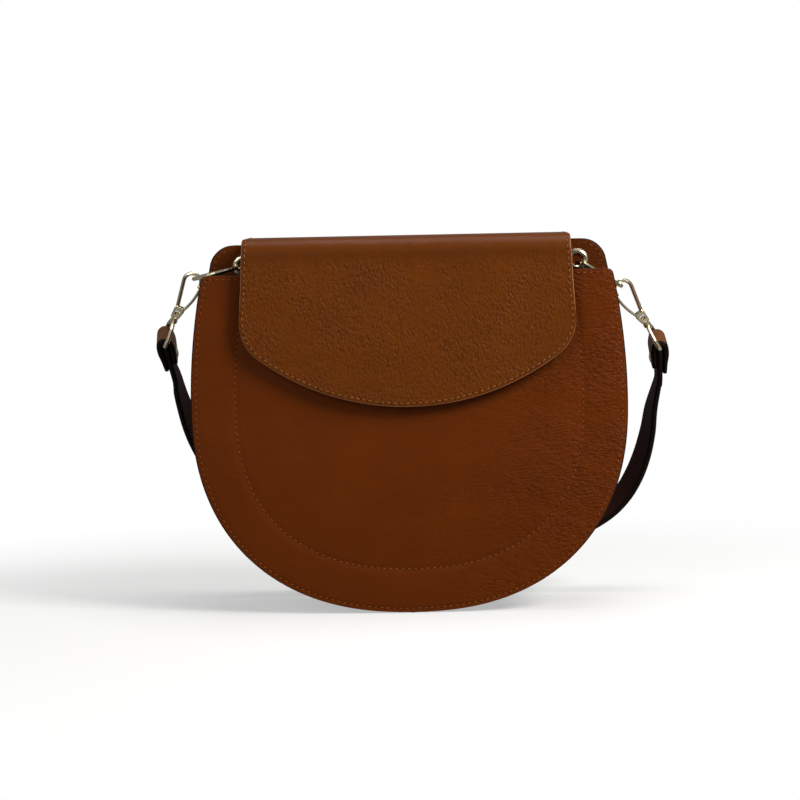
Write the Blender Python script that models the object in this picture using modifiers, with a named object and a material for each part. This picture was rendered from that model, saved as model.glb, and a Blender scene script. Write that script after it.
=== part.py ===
# Leather crossbody bag with a flap, on a detachable shoulder strap.
# Metres, +Z up. The front faces -Y. The origin is on the front panel's bottom edge.
import math

import bmesh
import bpy
import numpy as np
from mathutils import Matrix, Vector

# General
seam_gap = 0.0003
cut_overrun = 0.004
round_steps = 24

# Bag body
bag_half_width = 0.1253
belly_height = 0.120
belly_power = 2.3
ear_height = 0.2122
front_drop = 0.0164
side_draw = 0.0077
bag_depth = 0.066
mouth_draw = 0.0074
lean_zone = 0.011
panel_thick = 0.0018
front_corner = 0.003
ear_corner = 0.0125
base_flat_half = 0.007
outline_steps = 22

# Gusset
flange_width = 0.0042
gusset_thick = 0.0014
gusset_bulge = 0.0020
gusset_fold = 0.0010
gusset_dip = 0.019
flange_drop = 0.0010
gusset_rows = 44

# Facing, yoke and lining
facing_thick = 0.0014
facing_height = 0.0194
lining_thick = 0.0008
lining_gap_front = 0.0016
lining_gap_back = 0.0024
lining_drop = 0.0022
pocket_inset = 0.0225
pocket_thick = 0.0008
pocket_mouth_drop = 0.0358
yoke_half_width = 0.0898
yoke_length = 0.0328
yoke_corner = 0.018

# Zip pocket in the back lining
zip_drop = 0.0542
zip_length = 0.150
zip_slot_width = 0.009
zip_tape_width = 0.026
zip_tape_thick = 0.0006
zip_teeth_width = 0.0046
zip_teeth_thick = 0.0018
zip_pouch_depth = 0.100
zip_pouch_thick = 0.0014
zip_pouch_wall = 0.0004
zip_pouch_side = 0.008
slider_length = 0.009
slider_width = 0.0075
slider_wall = 0.0008
slider_end_margin = 0.004
puller_length = 0.026
puller_width = 0.0065
puller_thick = 0.0012
puller_eye = 0.0016
puller_pin_radius = 0.0007

# Flap
flap_thick = 0.0016
flap_lining_thick = 0.0012
flap_rise = 0.0041
flap_top_half_width = 0.0938
flap_side_half_width = 0.0966
flap_arc_radius = 0.1445
flap_length = 0.0969
flap_corner = 0.026
flap_back_bend = 0.0030
flap_front_bend = 0.0085
flap_plane_drop = 0.0303
flap_edge_margin = 0.0006
flap_arc_columns = 8
flap_corner_columns = 5
hinge_drop = 0.0034
hinge_gap = 0.0004

# Magnetic catch
magnet_rise = 0.0266
magnet_radius = 0.009
socket_thick = 0.0026
socket_hole_radius = 0.0032
socket_hole_depth = 0.0018
stud_flange_thick = 0.0005
stud_radius = 0.0027
stud_length = 0.0014
catch_neck_radius = 0.0022
catch_plate_radius = 0.0075
catch_plate_thick = 0.0007

# Eyelets and rings
eyelet_x_left = 0.0972
eyelet_x_right = 0.1003
eyelet_drop = 0.0122
eyelet_bore = 0.0036
eyelet_wall = 0.0006
eyelet_flange_radius = 0.0066
eyelet_dome = 0.0012
eyelet_lip = 0.0005
washer_radius = 0.0058
washer_thick = 0.0008
ring_radius = 0.0144
ring_wire_radius = 0.00125
ring_droop_left = math.radians(13.5)
ring_droop_right = math.radians(32.5)

# Snap hooks
hook_wire_radius = 0.0012
crown_radius = 0.0052
spine_flare = 0.0031
crown_lead = math.radians(9)
spine_length = 0.0180
clip_lean_left = math.radians(27)
clip_lean_right = math.radians(32)
clip_tilt = math.radians(12.5)
nose_ball_radius = 0.0017
crown_gap = 0.0006
gate_tip_gap = 0.00045
block_length = 0.0075
block_depth = 0.0048
block_reach = 0.0050
block_taper = 0.0012
window_length = 0.0024
window_width = 0.0030
window_inset = 0.0025
gate_slot = 0.0020
gate_bulge = 0.0047
gate_bulge_share = 0.5
gate_thick = 0.0017
gate_pin_radius = 0.00055
pin_clearance = 0.0001
gate_pin_reach = 0.0039
gate_pin_rise = 0.0057
stem_radius = 0.0010
stem_head_radius = 0.00125
stem_head_thick = 0.0008
bead_radius = 0.0023
bead_length = 0.0036
loop_turn_left = math.radians(11)
loop_turn_right = math.radians(-7)
loop_wire_radius = 0.0013
loop_length = 0.0112
loop_shoulder = 0.0024

# Strap and its ends
strap_width = 0.025
strap_thick = 0.0032
strap_side_gap = 0.0009
tab_thick = 0.0024
tab_short_leg = 0.013
tab_long_leg = 0.016
tab_lean_left = math.radians(-12)
tab_lean_right = math.radians(1)
tab_rivet_drop = 0.0088
rivet_cap_radius = 0.0036
rivet_cap_height = 0.0011
rivet_shank_radius = 0.0014
rivet_clearance = 0.0001
fold_layers = 7
fold_half_length = 0.052
fold_gap = 0.0005
strap_back_gap = 0.0038

# Buckle
buckle_wire_radius = 0.0012
buckle_side_gap = 0.0004
buckle_length = 0.018
prong_radius = 0.0009
prong_hub_radius = 0.0024
prong_width = 0.0026
run_low_share = (0.503, 0.051)
run_high_share = (0.902, 0.322)
buckle_place_up = 0.030
short_thick = 0.0020
short_return = 0.014
tail_length = 0.034
taper_start = 0.036
taper_end = 0.043
prong_turn = 0.0060
prong_hole_half = 0.0028
keeper_thick = 0.0012
keeper_width = 0.007
fixed_keeper_place = 0.0085
loose_keeper_place = 0.0220
hole_count = 5
hole_pitch = 0.012
strap_hole_radius = 0.0014

tan_leather = ("tan_leather", (0.165, 0.045, 0.009), 0.45, 0.0)
dark_leather = ("dark_leather", (0.028, 0.014, 0.010), 0.5, 0.0)
lining_cloth = ("lining_cloth", (0.020, 0.016, 0.014), 0.9, 0.0)
pale_gold = ("pale_gold", (0.62, 0.55, 0.40), 0.25, 1.0)


for old in list(bpy.data.objects):
    bpy.data.objects.remove(old)

bag_collection = bpy.data.collections.new("crossbody_bag")
cutter_collection = bpy.data.collections.new("cutters")
bpy.context.scene.collection.children.link(bag_collection)
bpy.context.scene.collection.children.link(cutter_collection)

# Worked-out heights, all from the ears' height
front_height = ear_height - front_drop
pocket_mouth_height = front_height - pocket_mouth_drop
zip_height = ear_height - zip_drop
hinge_height = ear_height - hinge_drop
yoke_bottom_height = hinge_height - yoke_length
flap_top_height = ear_height + flap_rise
flap_plane_start = flap_top_height - flap_plane_drop
flap_arc_lowest = flap_top_height - flap_length
magnet_height = flap_arc_lowest + magnet_rise
eyelet_height = ear_height - eyelet_drop

# Worked-out places through the depth of the bag
front_outer = -panel_thick / 2
front_inner = panel_thick / 2
back_outer = bag_depth - panel_thick / 2
back_inner = back_outer - panel_thick
lean = mouth_draw / front_height
lean_angle = math.atan(lean)
facing_front = back_inner - seam_gap - facing_thick
facing_bottom = ear_height - facing_height
lining_front = front_inner + lining_gap_front
lining_back = back_inner - lining_gap_back


def leaned(y, z):
    """The panels lean in towards the mouth: y moves with height, most near each panel."""
    along = (y - (front_inner + lean_zone)) / (back_inner - front_inner - 2 * lean_zone)
    weight = 1 - 2 * np.clip(along, 0, 1)
    return y + lean * z * weight


def lean_mesh(mesh):
    for vertex in mesh.vertices:
        vertex.co.y = float(leaned(vertex.co.y, vertex.co.z))


def material(look):
    name, colour, roughness, metallic = look
    made = bpy.data.materials.new(name)
    made.use_nodes = True
    shader = made.node_tree.nodes["Principled BSDF"]
    shader.inputs["Base Color"].default_value = (*colour, 1)
    shader.inputs["Roughness"].default_value = roughness
    shader.inputs["Metallic"].default_value = metallic
    made.diffuse_color = (*colour, 1)
    return made


def add_object(name, mesh, look, matrix=None):
    piece = bpy.data.objects.new(name, mesh)
    bag_collection.objects.link(piece)
    mesh.materials.clear()
    mesh.materials.append(material(look))
    if matrix is not None:
        piece.matrix_basis = matrix
    return piece


def empty(name, place, turn=(0, 0, 0), parent=None):
    frame = bpy.data.objects.new(name, None)
    bag_collection.objects.link(frame)
    frame.location = place
    frame.rotation_euler = turn
    if parent is not None:
        frame.parent = parent
    bpy.context.view_layer.update()
    return frame


def hang_on(piece, frame):
    """Parents a piece built in world places to an empty, and leaves it where it is."""
    piece.parent = frame
    piece.matrix_parent_inverse = frame.matrix_world.inverted()


def make_cutter(piece):
    for collection in list(piece.users_collection):
        collection.objects.unlink(piece)
    cutter_collection.objects.link(piece)
    piece.hide_render = True
    piece.display_type = "WIRE"
    return piece


def cut(piece, cutter, operation="DIFFERENCE"):
    step = piece.modifiers.new(operation.lower(), "BOOLEAN")
    step.operation = operation
    step.object = cutter
    step.solver = "EXACT"
    return step


def evaluated_mesh(piece):
    bpy.context.view_layer.update()
    graph = bpy.context.evaluated_depsgraph_get()
    return bpy.data.meshes.new_from_object(piece.evaluated_get(graph))


def curve_to_mesh(curve_object, name, look, parent=None):
    """Makes a welded mesh piece of a curve object and removes the curve."""
    mesh = evaluated_mesh(curve_object)
    place = curve_object.matrix_world.copy()
    bpy.data.objects.remove(curve_object)
    work = bmesh.new()
    work.from_mesh(mesh)
    bmesh.ops.remove_doubles(work, verts=work.verts, dist=1e-6)
    bmesh.ops.recalc_face_normals(work, faces=work.faces)
    work.to_mesh(mesh)
    work.free()
    piece = add_object(name, mesh, look, place)
    if parent is not None:
        piece.parent = parent
    return piece


def wire(name, points, radius, look, cyclic=False, parent=None, detail=2):
    """A round wire along a list of points."""
    line = bpy.data.curves.new(name, "CURVE")
    line.dimensions = "3D"
    line.bevel_depth = radius
    line.bevel_resolution = detail
    line.use_fill_caps = True
    spline = line.splines.new("POLY")
    spline.points.add(len(points) - 1)
    for spot, point in zip(spline.points, points):
        spot.co = (*point, 1)
    spline.use_cyclic_u = cyclic
    rod = bpy.data.objects.new(name + "_line", line)
    bag_collection.objects.link(rod)
    piece = curve_to_mesh(rod, name, look, parent)
    piece.data.shade_smooth()
    return piece


def plate(name, outline, low, high, look, leans=True):
    """A flat outline in X and Z, filled and extruded between two depths."""
    line = bpy.data.curves.new(name, "CURVE")
    line.dimensions = "2D"
    line.fill_mode = "BOTH"
    line.extrude = (high - low) / 2
    spline = line.splines.new("POLY")
    spline.points.add(len(outline) - 1)
    for spot, (x, z) in zip(spline.points, outline):
        spot.co = (x, z, 0, 1)
    spline.use_cyclic_u = True
    sheet = bpy.data.objects.new(name + "_line", line)
    bag_collection.objects.link(sheet)
    sheet.matrix_world = Matrix.Translation((0, (low + high) / 2, 0)) @ Matrix.Rotation(math.pi / 2, 4, "X")
    bpy.context.view_layer.update()
    piece = curve_to_mesh(sheet, name, look)
    piece.data.transform(piece.matrix_basis)
    piece.matrix_basis = Matrix.Identity(4)
    if leans:
        lean_mesh(piece.data)
    return piece


def grid_object(name, grid, look, thickness=0.0, outward=1.0, extra_face=None):
    """An open surface on a grid of points, with a wall from Solidify."""
    rows, columns = grid.shape[:2]
    faces = []
    for i in range(rows - 1):
        for j in range(columns - 1):
            a = i * columns + j
            faces.append((a, a + 1, a + columns + 1, a + columns))
    if extra_face is not None:
        faces.extend(extra_face)
    mesh = bpy.data.meshes.new(name)
    mesh.from_pydata(grid.reshape(-1, 3).tolist(), [], faces)
    mesh.update()
    piece = add_object(name, mesh, look)
    if thickness:
        wall = piece.modifiers.new("wall", "SOLIDIFY")
        wall.thickness = thickness
        wall.offset = outward
        wall.use_even_offset = True
    return piece


def swept_strip(name, points, across, width, thickness, look, parent=None):
    """A flat strip: a rectangle carried along points, its width along the given directions."""
    points = np.asarray(points, float)
    across = np.asarray(across, float)
    half_thick = np.broadcast_to(np.asarray(thickness, float) / 2, len(points))
    forward = np.gradient(points, axis=0)
    forward /= np.linalg.norm(forward, axis=1)[:, None]
    across = across - (across * forward).sum(1)[:, None] * forward
    across /= np.linalg.norm(across, axis=1)[:, None]
    normal = np.cross(forward, across)
    corners = []
    for side, face in ((-1, -1), (1, -1), (1, 1), (-1, 1)):
        corners.append(points + across * side * width / 2 + normal * face * half_thick[:, None])
    ring = np.stack(corners, 1)
    count = len(points)
    faces = []
    for i in range(count - 1):
        for j in range(4):
            a = i * 4 + j
            b = i * 4 + (j + 1) % 4
            faces.append((a, b, b + 4, a + 4))
    faces.append((3, 2, 1, 0))
    last = (count - 1) * 4
    faces.append((last, last + 1, last + 2, last + 3))
    mesh = bpy.data.meshes.new(name)
    mesh.from_pydata(ring.reshape(-1, 3).tolist(), [], faces)
    work = bmesh.new()
    work.from_mesh(mesh)
    bmesh.ops.recalc_face_normals(work, faces=work.faces)
    work.to_mesh(mesh)
    work.free()
    piece = add_object(name, mesh, look)
    if parent is not None:
        piece.parent = parent
    return piece


def cylinder(name, radius, length, matrix, look=pale_gold, steps=round_steps, top_radius=None):
    """A cylinder along the matrix's Z axis, centred on it."""
    mesh = bpy.data.meshes.new(name)
    work = bmesh.new()
    bmesh.ops.create_cone(work, cap_ends=True, segments=steps, radius1=radius,
                          radius2=radius if top_radius is None else top_radius, depth=length)
    work.to_mesh(mesh)
    work.free()
    return add_object(name, mesh, look, matrix)


def block(name, low, high, look=pale_gold, parent=None, bevel=0.0):
    """A box between two corners, with its edges rounded if a width is given."""
    low = Vector(low)
    high = Vector(high)
    mesh = bpy.data.meshes.new(name)
    work = bmesh.new()
    bmesh.ops.create_cube(work, size=1)
    size = high - low
    bmesh.ops.transform(work, matrix=Matrix.Diagonal((*size, 1)), verts=work.verts)
    bmesh.ops.translate(work, vec=(low + high) / 2, verts=work.verts)
    work.to_mesh(mesh)
    work.free()
    piece = add_object(name, mesh, look)
    if parent is not None:
        piece.parent = parent
    if bevel:
        rounding = piece.modifiers.new("rounding", "BEVEL")
        rounding.width = bevel
        rounding.segments = 2
    return piece


def prism(name, outline, depth, bevel, parent):
    """A flat outline in X and Z given a depth along Y, with rounded edges."""
    count = len(outline)
    points = [(x, y + sign * depth / 2, z) for sign in (-1, 1) for x, y, z in outline]
    faces = [tuple(range(count)), tuple(range(2 * count - 1, count - 1, -1))]
    faces += [(i, (i + 1) % count, (i + 1) % count + count, i + count) for i in range(count)]
    mesh = bpy.data.meshes.new(name)
    mesh.from_pydata(points, [], faces)
    work = bmesh.new()
    work.from_mesh(mesh)
    bmesh.ops.recalc_face_normals(work, faces=work.faces)
    work.to_mesh(mesh)
    work.free()
    piece = add_object(name, mesh, pale_gold)
    piece.parent = parent
    rounding = piece.modifiers.new("rounding", "BEVEL")
    rounding.width = bevel
    rounding.segments = 2
    return piece


def turned(name, profile, matrix, look=pale_gold, steps=round_steps):
    """A profile of (radius, height) points, outer side from top to bottom, turned about Z."""
    mesh = bpy.data.meshes.new(name)
    points = [(radius, 0, height) for radius, height in profile]
    edges = [(i, i + 1) for i in range(len(points) - 1)]
    if profile[0][0] > 0:
        edges.append((len(points) - 1, 0))
    mesh.from_pydata(points, edges, [])
    piece = add_object(name, mesh, look)
    piece.matrix_basis = matrix
    lathe = piece.modifiers.new("turn", "SCREW")
    lathe.steps = steps
    lathe.render_steps = steps
    lathe.use_merge_vertices = True
    lathe.merge_threshold = 1e-5
    lathe.use_smooth_shade = True
    return piece


def facing_axis(place, angle):
    """A matrix whose Z axis points to the front, tipped by the panel's lean."""
    return Matrix.Translation(place) @ Matrix.Rotation(angle, 4, "X") @ Matrix.Rotation(math.pi / 2, 4, "X")


# Outline of the D-shaped panels
def half_outline(top):
    """Right half from the bottom's middle up to a height: a superellipse, then drawn-in sides."""
    turn = np.linspace(0, math.pi / 2, outline_steps + 1)
    x = bag_half_width * np.sin(turn) ** (2 / belly_power)
    z = belly_height * (1 - np.cos(turn) ** (2 / belly_power))
    z[-1] = belly_height
    x = np.insert(x, 1, base_flat_half)
    z = np.insert(z, 1, 0)
    rise = np.linspace(0, 1, outline_steps // 2)[1:] * (ear_height - belly_height)
    draw = side_draw * (rise / (front_height - belly_height)) ** 2
    x = np.append(x, bag_half_width - draw)
    z = np.append(z, belly_height + rise)
    keep = z < top - 1e-9
    x_top = np.interp(top, z, x)
    return np.append(x[keep], x_top), np.append(z[keep], top)


def inset_half(inset, top):
    """The same half line moved inwards, cut again at the height asked for."""
    x, z = half_outline(ear_height)
    x_all = np.concatenate((-x[:0:-1], x))
    z_all = np.concatenate((z[:0:-1], z))
    along = np.stack((np.gradient(x_all), np.gradient(z_all)), 1)
    along /= np.linalg.norm(along, axis=1)[:, None]
    x_in = x_all - along[:, 1] * inset
    z_in = z_all + along[:, 0] * inset
    right = slice(len(x) - 1, None)
    x_in = x_in[right]
    z_in = z_in[right]
    keep = z_in < top - 1e-9
    x_top = np.interp(top, z_in, x_in)
    return np.append(x_in[keep], x_top), np.append(z_in[keep], top)


def rounded_top(x, z, corner, steps=5):
    """Replaces the sharp top corner of a half line by an arc."""
    top = z[-1]
    side = x[-1]
    keep = z < top - corner
    arc = np.linspace(0, math.pi / 2, steps + 1)
    base = np.interp(top - corner, z, x)
    x_arc = base - corner + corner * np.cos(arc)
    z_arc = top - corner + corner * np.sin(arc)
    x_arc = x_arc - (base - side) * np.sin(arc) * 0.5
    return np.append(x[keep], x_arc), np.append(z[keep], z_arc)


def closed_outline(x, z):
    """Mirrors a half line that starts on the middle, as a list of points."""
    right = list(zip(x, z))[1:]
    return right + [(-px, pz) for px, pz in right[::-1]]


def drop_at(share):
    """How much lower the gusset's end is at a share of the depth, most in the middle."""
    return math.sin(math.pi * share) ** 2


# Panels
front_panel = plate("front_panel", closed_outline(*rounded_top(*half_outline(front_height), front_corner, 3)),
                    front_outer, front_inner, tan_leather)
back_panel = plate("back_panel", closed_outline(*rounded_top(*half_outline(ear_height), ear_corner)),
                   back_inner, back_outer, tan_leather)

facing_x, facing_z = rounded_top(*inset_half(seam_gap, ear_height - seam_gap), ear_corner)
above = facing_z > facing_bottom
facing_x = np.insert(facing_x[above], 0, np.interp(facing_bottom, facing_z, facing_x))
facing_z = np.insert(facing_z[above], 0, facing_bottom)
facing_right = list(zip(facing_x, facing_z))
facing_left = [(-px, pz) for px, pz in facing_right[::-1]]
back_facing = plate("back_facing", facing_right + facing_left, facing_front, facing_front + facing_thick,
                    tan_leather)

yoke_low = back_outer + seam_gap
yoke_top = hinge_height - hinge_gap
yoke_arc = np.linspace(-math.pi / 2, 0, 7)
yoke_side = [(yoke_half_width - yoke_corner + yoke_corner * math.cos(a),
              yoke_bottom_height + yoke_corner + yoke_corner * math.sin(a)) for a in yoke_arc]
yoke_right = yoke_side + [(yoke_half_width, yoke_top)]
yoke_left = [(-px, pz) for px, pz in yoke_right[::-1]]
flap_yoke = plate("flap_yoke", yoke_right + yoke_left, yoke_low, yoke_low + flap_thick, tan_leather)


# Gusset: a channel section carried round the D, its ends dipping in the middle
def band_grid(section, top_of, rows):
    """Points of a section, (depth, inset), carried from the left top round to the right top."""
    x, z = half_outline(ear_height)
    x_all = np.concatenate((-x[:0:-1], x))
    z_all = np.concatenate((z[:0:-1], z))
    along = np.stack((np.gradient(x_all), np.gradient(z_all)), 1)
    along /= np.linalg.norm(along, axis=1)[:, None]
    run = np.concatenate(([0], np.cumsum(np.hypot(np.diff(x_all), np.diff(z_all)))))
    middle = run[len(x) - 1]
    grid = np.zeros((rows + 1, len(section), 3))
    for j, (depth, inset) in enumerate(section):
        x_in = x_all - along[:, 1] * inset
        z_in = z_all + along[:, 0] * inset
        half_run = run[len(x) - 1:] - middle
        reach = np.interp(top_of(depth), z_in[len(x) - 1:], half_run)
        share = np.linspace(-1, 1, rows + 1)
        at = middle + share * reach
        grid[:, j, 0] = np.interp(at, run, x_in)
        grid[:, j, 2] = np.interp(at, run, z_in)
        grid[:, j, 1] = leaned(np.full(rows + 1, depth), grid[:, j, 2])
    return grid


def channel_section(low, high, edge, depth_in, wall, fold, bulge, count=7):
    """Depth and inset of a flange, a small fold, the band and the same again."""
    turn = np.linspace(0, math.pi / 2, 4)
    section = [(low + wall, edge)]
    section += [(low + wall + fold * (1 - math.cos(a)), depth_in - fold + fold * math.sin(a)) for a in turn]
    start = section[-1][0]
    for share in np.linspace(0, 1, count + 2)[1:-1]:
        across = start + (low + high - 2 * start) * share
        section.append((across, depth_in - bulge * math.sin(math.pi * share)))
    mirrored = [(low + high - depth, inset) for depth, inset in section[:4 + 1][::-1]]
    return section + mirrored


gusset_low = front_inner + seam_gap
gusset_high = back_inner - seam_gap


def gusset_top(depth):
    share = (depth - gusset_low) / (gusset_high - gusset_low)
    front_top = front_height - flange_drop
    back_top = facing_bottom - seam_gap
    return front_top + (back_top - front_top) * share - gusset_dip * drop_at(share)


gusset_section = channel_section(gusset_low, gusset_high, seam_gap, flange_width, gusset_thick,
                                 gusset_fold, gusset_bulge)
gusset = grid_object("gusset", band_grid(gusset_section, gusset_top, gusset_rows), tan_leather,
                     gusset_thick, -1.0)

# Lining: a sewn bag, open at the top
lining_inset = flange_width + gusset_thick + seam_gap
lining_shares = np.linspace(0, 1, 7)


def lining_top(depth):
    share = (depth - lining_front) / (lining_back - lining_front)
    front_top = front_height - lining_drop
    back_top = facing_bottom - seam_gap
    return front_top + (back_top - front_top) * share - (gusset_dip + flange_drop) * drop_at(share)


lining_section = [(lining_front + (lining_back - lining_front) * share, lining_inset) for share in lining_shares]
lining_rows = 36
lining_grid = band_grid(lining_section, lining_top, lining_rows)
lining_columns = len(lining_section)
front_loop = tuple(i * lining_columns for i in range(lining_rows + 1))
back_loop = tuple(i * lining_columns + lining_columns - 1 for i in range(lining_rows, -1, -1))
lining = grid_object("lining", lining_grid, lining_cloth, lining_thick, -1.0,
                     [front_loop, back_loop])

# Slip pocket behind the front panel
pocket_x, pocket_z = inset_half(pocket_inset, pocket_mouth_height)
pocket_low = lining_front + lining_thick + seam_gap
slip_pocket = plate("slip_pocket", closed_outline(pocket_x, pocket_z), pocket_low, pocket_low + pocket_thick,
                    lining_cloth)


# Zip pocket in the back lining
def box_outline(half_width, low, high):
    return [(half_width, low), (half_width, high), (-half_width, high), (-half_width, low)]


zip_half = zip_length / 2
slot_cutter = plate("zip_slot_cutter",
                    box_outline(zip_half, zip_height - zip_slot_width / 2, zip_height + zip_slot_width / 2),
                    lining_back - lining_thick - cut_overrun, lining_back + seam_gap, lining_cloth)
cut(lining, make_cutter(slot_cutter))

pouch_top = zip_height + zip_tape_width / 2
pouch_bottom = pouch_top - zip_pouch_depth
pouch_high = lining_back + zip_pouch_thick + seam_gap
pouch_low = lining_back + seam_gap
zip_pocket_bag = plate("zip_pocket_bag", box_outline(zip_half + zip_pouch_side, pouch_bottom, pouch_top),
                       pouch_low, pouch_high, lining_cloth)
pouch_space = plate("pouch_space_cutter",
                    box_outline(zip_half + zip_pouch_side - zip_pouch_wall, pouch_bottom + zip_pouch_wall,
                                pouch_top - zip_pouch_wall),
                    pouch_low + zip_pouch_wall, pouch_high - zip_pouch_wall, lining_cloth)
pouch_mouth = plate("pouch_mouth_cutter",
                    box_outline(zip_half, zip_height - zip_slot_width / 2, zip_height + zip_slot_width / 2),
                    pouch_low - cut_overrun, pouch_high - zip_pouch_wall, lining_cloth)
cut(zip_pocket_bag, make_cutter(pouch_space))
cut(zip_pocket_bag, make_cutter(pouch_mouth))

tape_high = lining_back - lining_thick - seam_gap
tape_low = tape_high - zip_tape_thick
teeth_low = tape_high - (zip_tape_thick + zip_teeth_thick) / 2
zip_tape = plate("zip_tape", box_outline(zip_half + zip_pouch_side, zip_height - zip_tape_width / 2,
                                         zip_height + zip_tape_width / 2), tape_low, tape_high, lining_cloth)
zip_teeth = plate("zip_teeth_add", box_outline(zip_half, zip_height - zip_teeth_width / 2,
                                               zip_height + zip_teeth_width / 2),
                  teeth_low, teeth_low + zip_teeth_thick, lining_cloth)
cut(zip_tape, make_cutter(zip_teeth), "UNION")

slider_start = -zip_half + slider_end_margin + slider_length / 2
slider_high = tape_low - seam_gap - (zip_teeth_thick - zip_tape_thick) / 2
slider_y = float(leaned(slider_high, zip_height))
slider_frame = empty("zip_slider_frame", (slider_start, slider_y, zip_height), (lean_angle, 0, 0))
slider_body = block("zip_slider", (-slider_length / 2, -slider_wall, -slider_width / 2),
                    (slider_length / 2, 0, slider_width / 2), parent=slider_frame, bevel=slider_wall / 3)
puller_pin_y = -slider_wall - seam_gap - puller_pin_radius
bridge_half = puller_eye
lug_half = puller_pin_radius + pin_clearance + slider_wall
slider_lug = block("zip_slider_lug", (-bridge_half, puller_pin_y - lug_half, -lug_half),
                   (bridge_half, -slider_wall / 2, lug_half), parent=slider_frame)
cut(slider_body, make_cutter(slider_lug), "UNION")
puller_frame = empty("zip_puller_frame", (0, puller_pin_y, 0), (0, 0, 0), slider_frame)
lug_hole = cylinder("zip_lug_hole", puller_pin_radius + pin_clearance, bridge_half + cut_overrun,
                    Matrix.Rotation(math.pi / 2, 4, "Y"), steps=12)
lug_hole.parent = puller_frame
cut(slider_body, make_cutter(lug_hole))
eye_half = bridge_half + seam_gap
puller_low = -puller_length
puller_line = [(-eye_half - puller_eye / 2, 0, 0), (-eye_half - puller_eye / 2, 0, -puller_eye * 2),
               (eye_half + puller_eye / 2, 0, -puller_eye * 2), (eye_half + puller_eye / 2, 0, 0)]
zip_puller = wire("zip_puller", puller_line, puller_pin_radius, pale_gold, True, puller_frame, 1)
puller_blade = block("zip_puller_blade", (-puller_width / 2, -puller_thick / 2, puller_low),
                     (puller_width / 2, puller_thick / 2, -puller_eye * 2), parent=puller_frame)
cut(zip_puller, make_cutter(puller_blade), "UNION")

# Magnetic catch, lower half on the front panel
front_face_y = float(leaned(front_outer, magnet_height))
socket_axis = facing_axis((0, front_face_y, magnet_height), -lean_angle)
socket_base = seam_gap
socket_top = socket_base + socket_thick
neck_reach = panel_thick + 2 * seam_gap
socket_profile = [(socket_hole_radius, socket_top), (magnet_radius - socket_thick / 3, socket_top),
                  (magnet_radius, socket_top - socket_thick / 3), (magnet_radius, socket_base),
                  (catch_neck_radius, socket_base), (catch_neck_radius, socket_base - neck_reach)]
magnet_socket = turned("magnet_socket", [(0, socket_top - socket_hole_depth),
                                         (socket_hole_radius, socket_top - socket_hole_depth)]
                       + socket_profile + [(0, socket_base - neck_reach)], socket_axis)
socket_plate = cylinder("magnet_socket_plate", catch_plate_radius, catch_plate_thick,
                        socket_axis @ Matrix.Translation((0, 0, -neck_reach - catch_plate_thick / 2)))
neck_cutter = cylinder("socket_neck_cutter", catch_neck_radius + seam_gap, 2 * cut_overrun, socket_axis)
cut(front_panel, make_cutter(neck_cutter))

# Flap, in a front plane that stands off the panel by the height of the catch
flap_hinge_y = float(leaned(yoke_low, hinge_height)) + flap_thick + seam_gap
flap_frame = empty("flap_frame", (0, flap_hinge_y, hinge_height))
catch_height = socket_base + socket_thick + seam_gap + stud_flange_thick + seam_gap
stand_off = catch_height + flap_lining_thick + seam_gap
plane_slope = math.sqrt(1 + lean ** 2)


def flap_plane_y(z, off):
    return front_outer + lean * z - off * plane_slope


def flap_profile(off, start_height):
    """Side view of one face of the flap: up the back, over the top, down to the front plane."""
    back_y = float(leaned(yoke_low, hinge_height)) - (stand_off - off)
    top_z = flap_top_height - flap_thick - (stand_off - off)
    back_bend = flap_back_bend - (stand_off - off)
    front_bend = flap_front_bend - (stand_off - off)
    points = []
    if start_height < top_z - back_bend:
        points += [(back_y, start_height)]
        points += [(back_y - back_bend + back_bend * math.cos(a), top_z - back_bend + back_bend * math.sin(a))
                   for a in np.linspace(0, math.pi / 2, 5)]
    else:
        points += [(back_y - flap_back_bend, top_z)]
    centre_z = top_z - front_bend
    centre_y = flap_plane_y(centre_z, off) + front_bend / plane_slope
    end = math.pi - lean_angle
    points += [(centre_y + front_bend * math.cos(a), centre_z + front_bend * math.sin(a))
               for a in np.linspace(math.pi / 2, end, 7)]
    points += [(flap_plane_y(flap_plane_start, off), flap_plane_start)]
    return np.array(points)


def flap_edge_line(inset):
    """The flap's free edge, a long arc with rounded corners: shares of its length, and places."""
    centre_z = flap_arc_lowest + flap_arc_radius
    radius = flap_arc_radius - inset
    side = flap_side_half_width - inset
    corner = flap_corner - inset
    reach = math.sqrt((radius - corner) ** 2 - (side - corner) ** 2)
    corner_z = centre_z - reach
    corner_x = side - corner
    blend = math.atan2(corner_x, reach)
    arc = [(radius * math.sin(a), centre_z - radius * math.cos(a))
           for a in np.linspace(0, blend, flap_arc_columns + 1)]
    turn = [(corner_x + corner * math.sin(a), corner_z - corner * math.cos(a))
            for a in np.linspace(blend, math.pi / 2, flap_corner_columns + 1)[1:]]
    right = np.array(arc + turn)
    run = np.concatenate(([0], np.cumsum(np.hypot(*np.diff(right, axis=0).T))))
    share = run / run[-1]
    share = np.concatenate((-share[:0:-1], share))
    x = np.concatenate((-right[:0:-1, 0], right[:, 0]))
    z = np.concatenate((right[:0:-1, 1], right[:, 1]))
    return share, x, z


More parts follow.
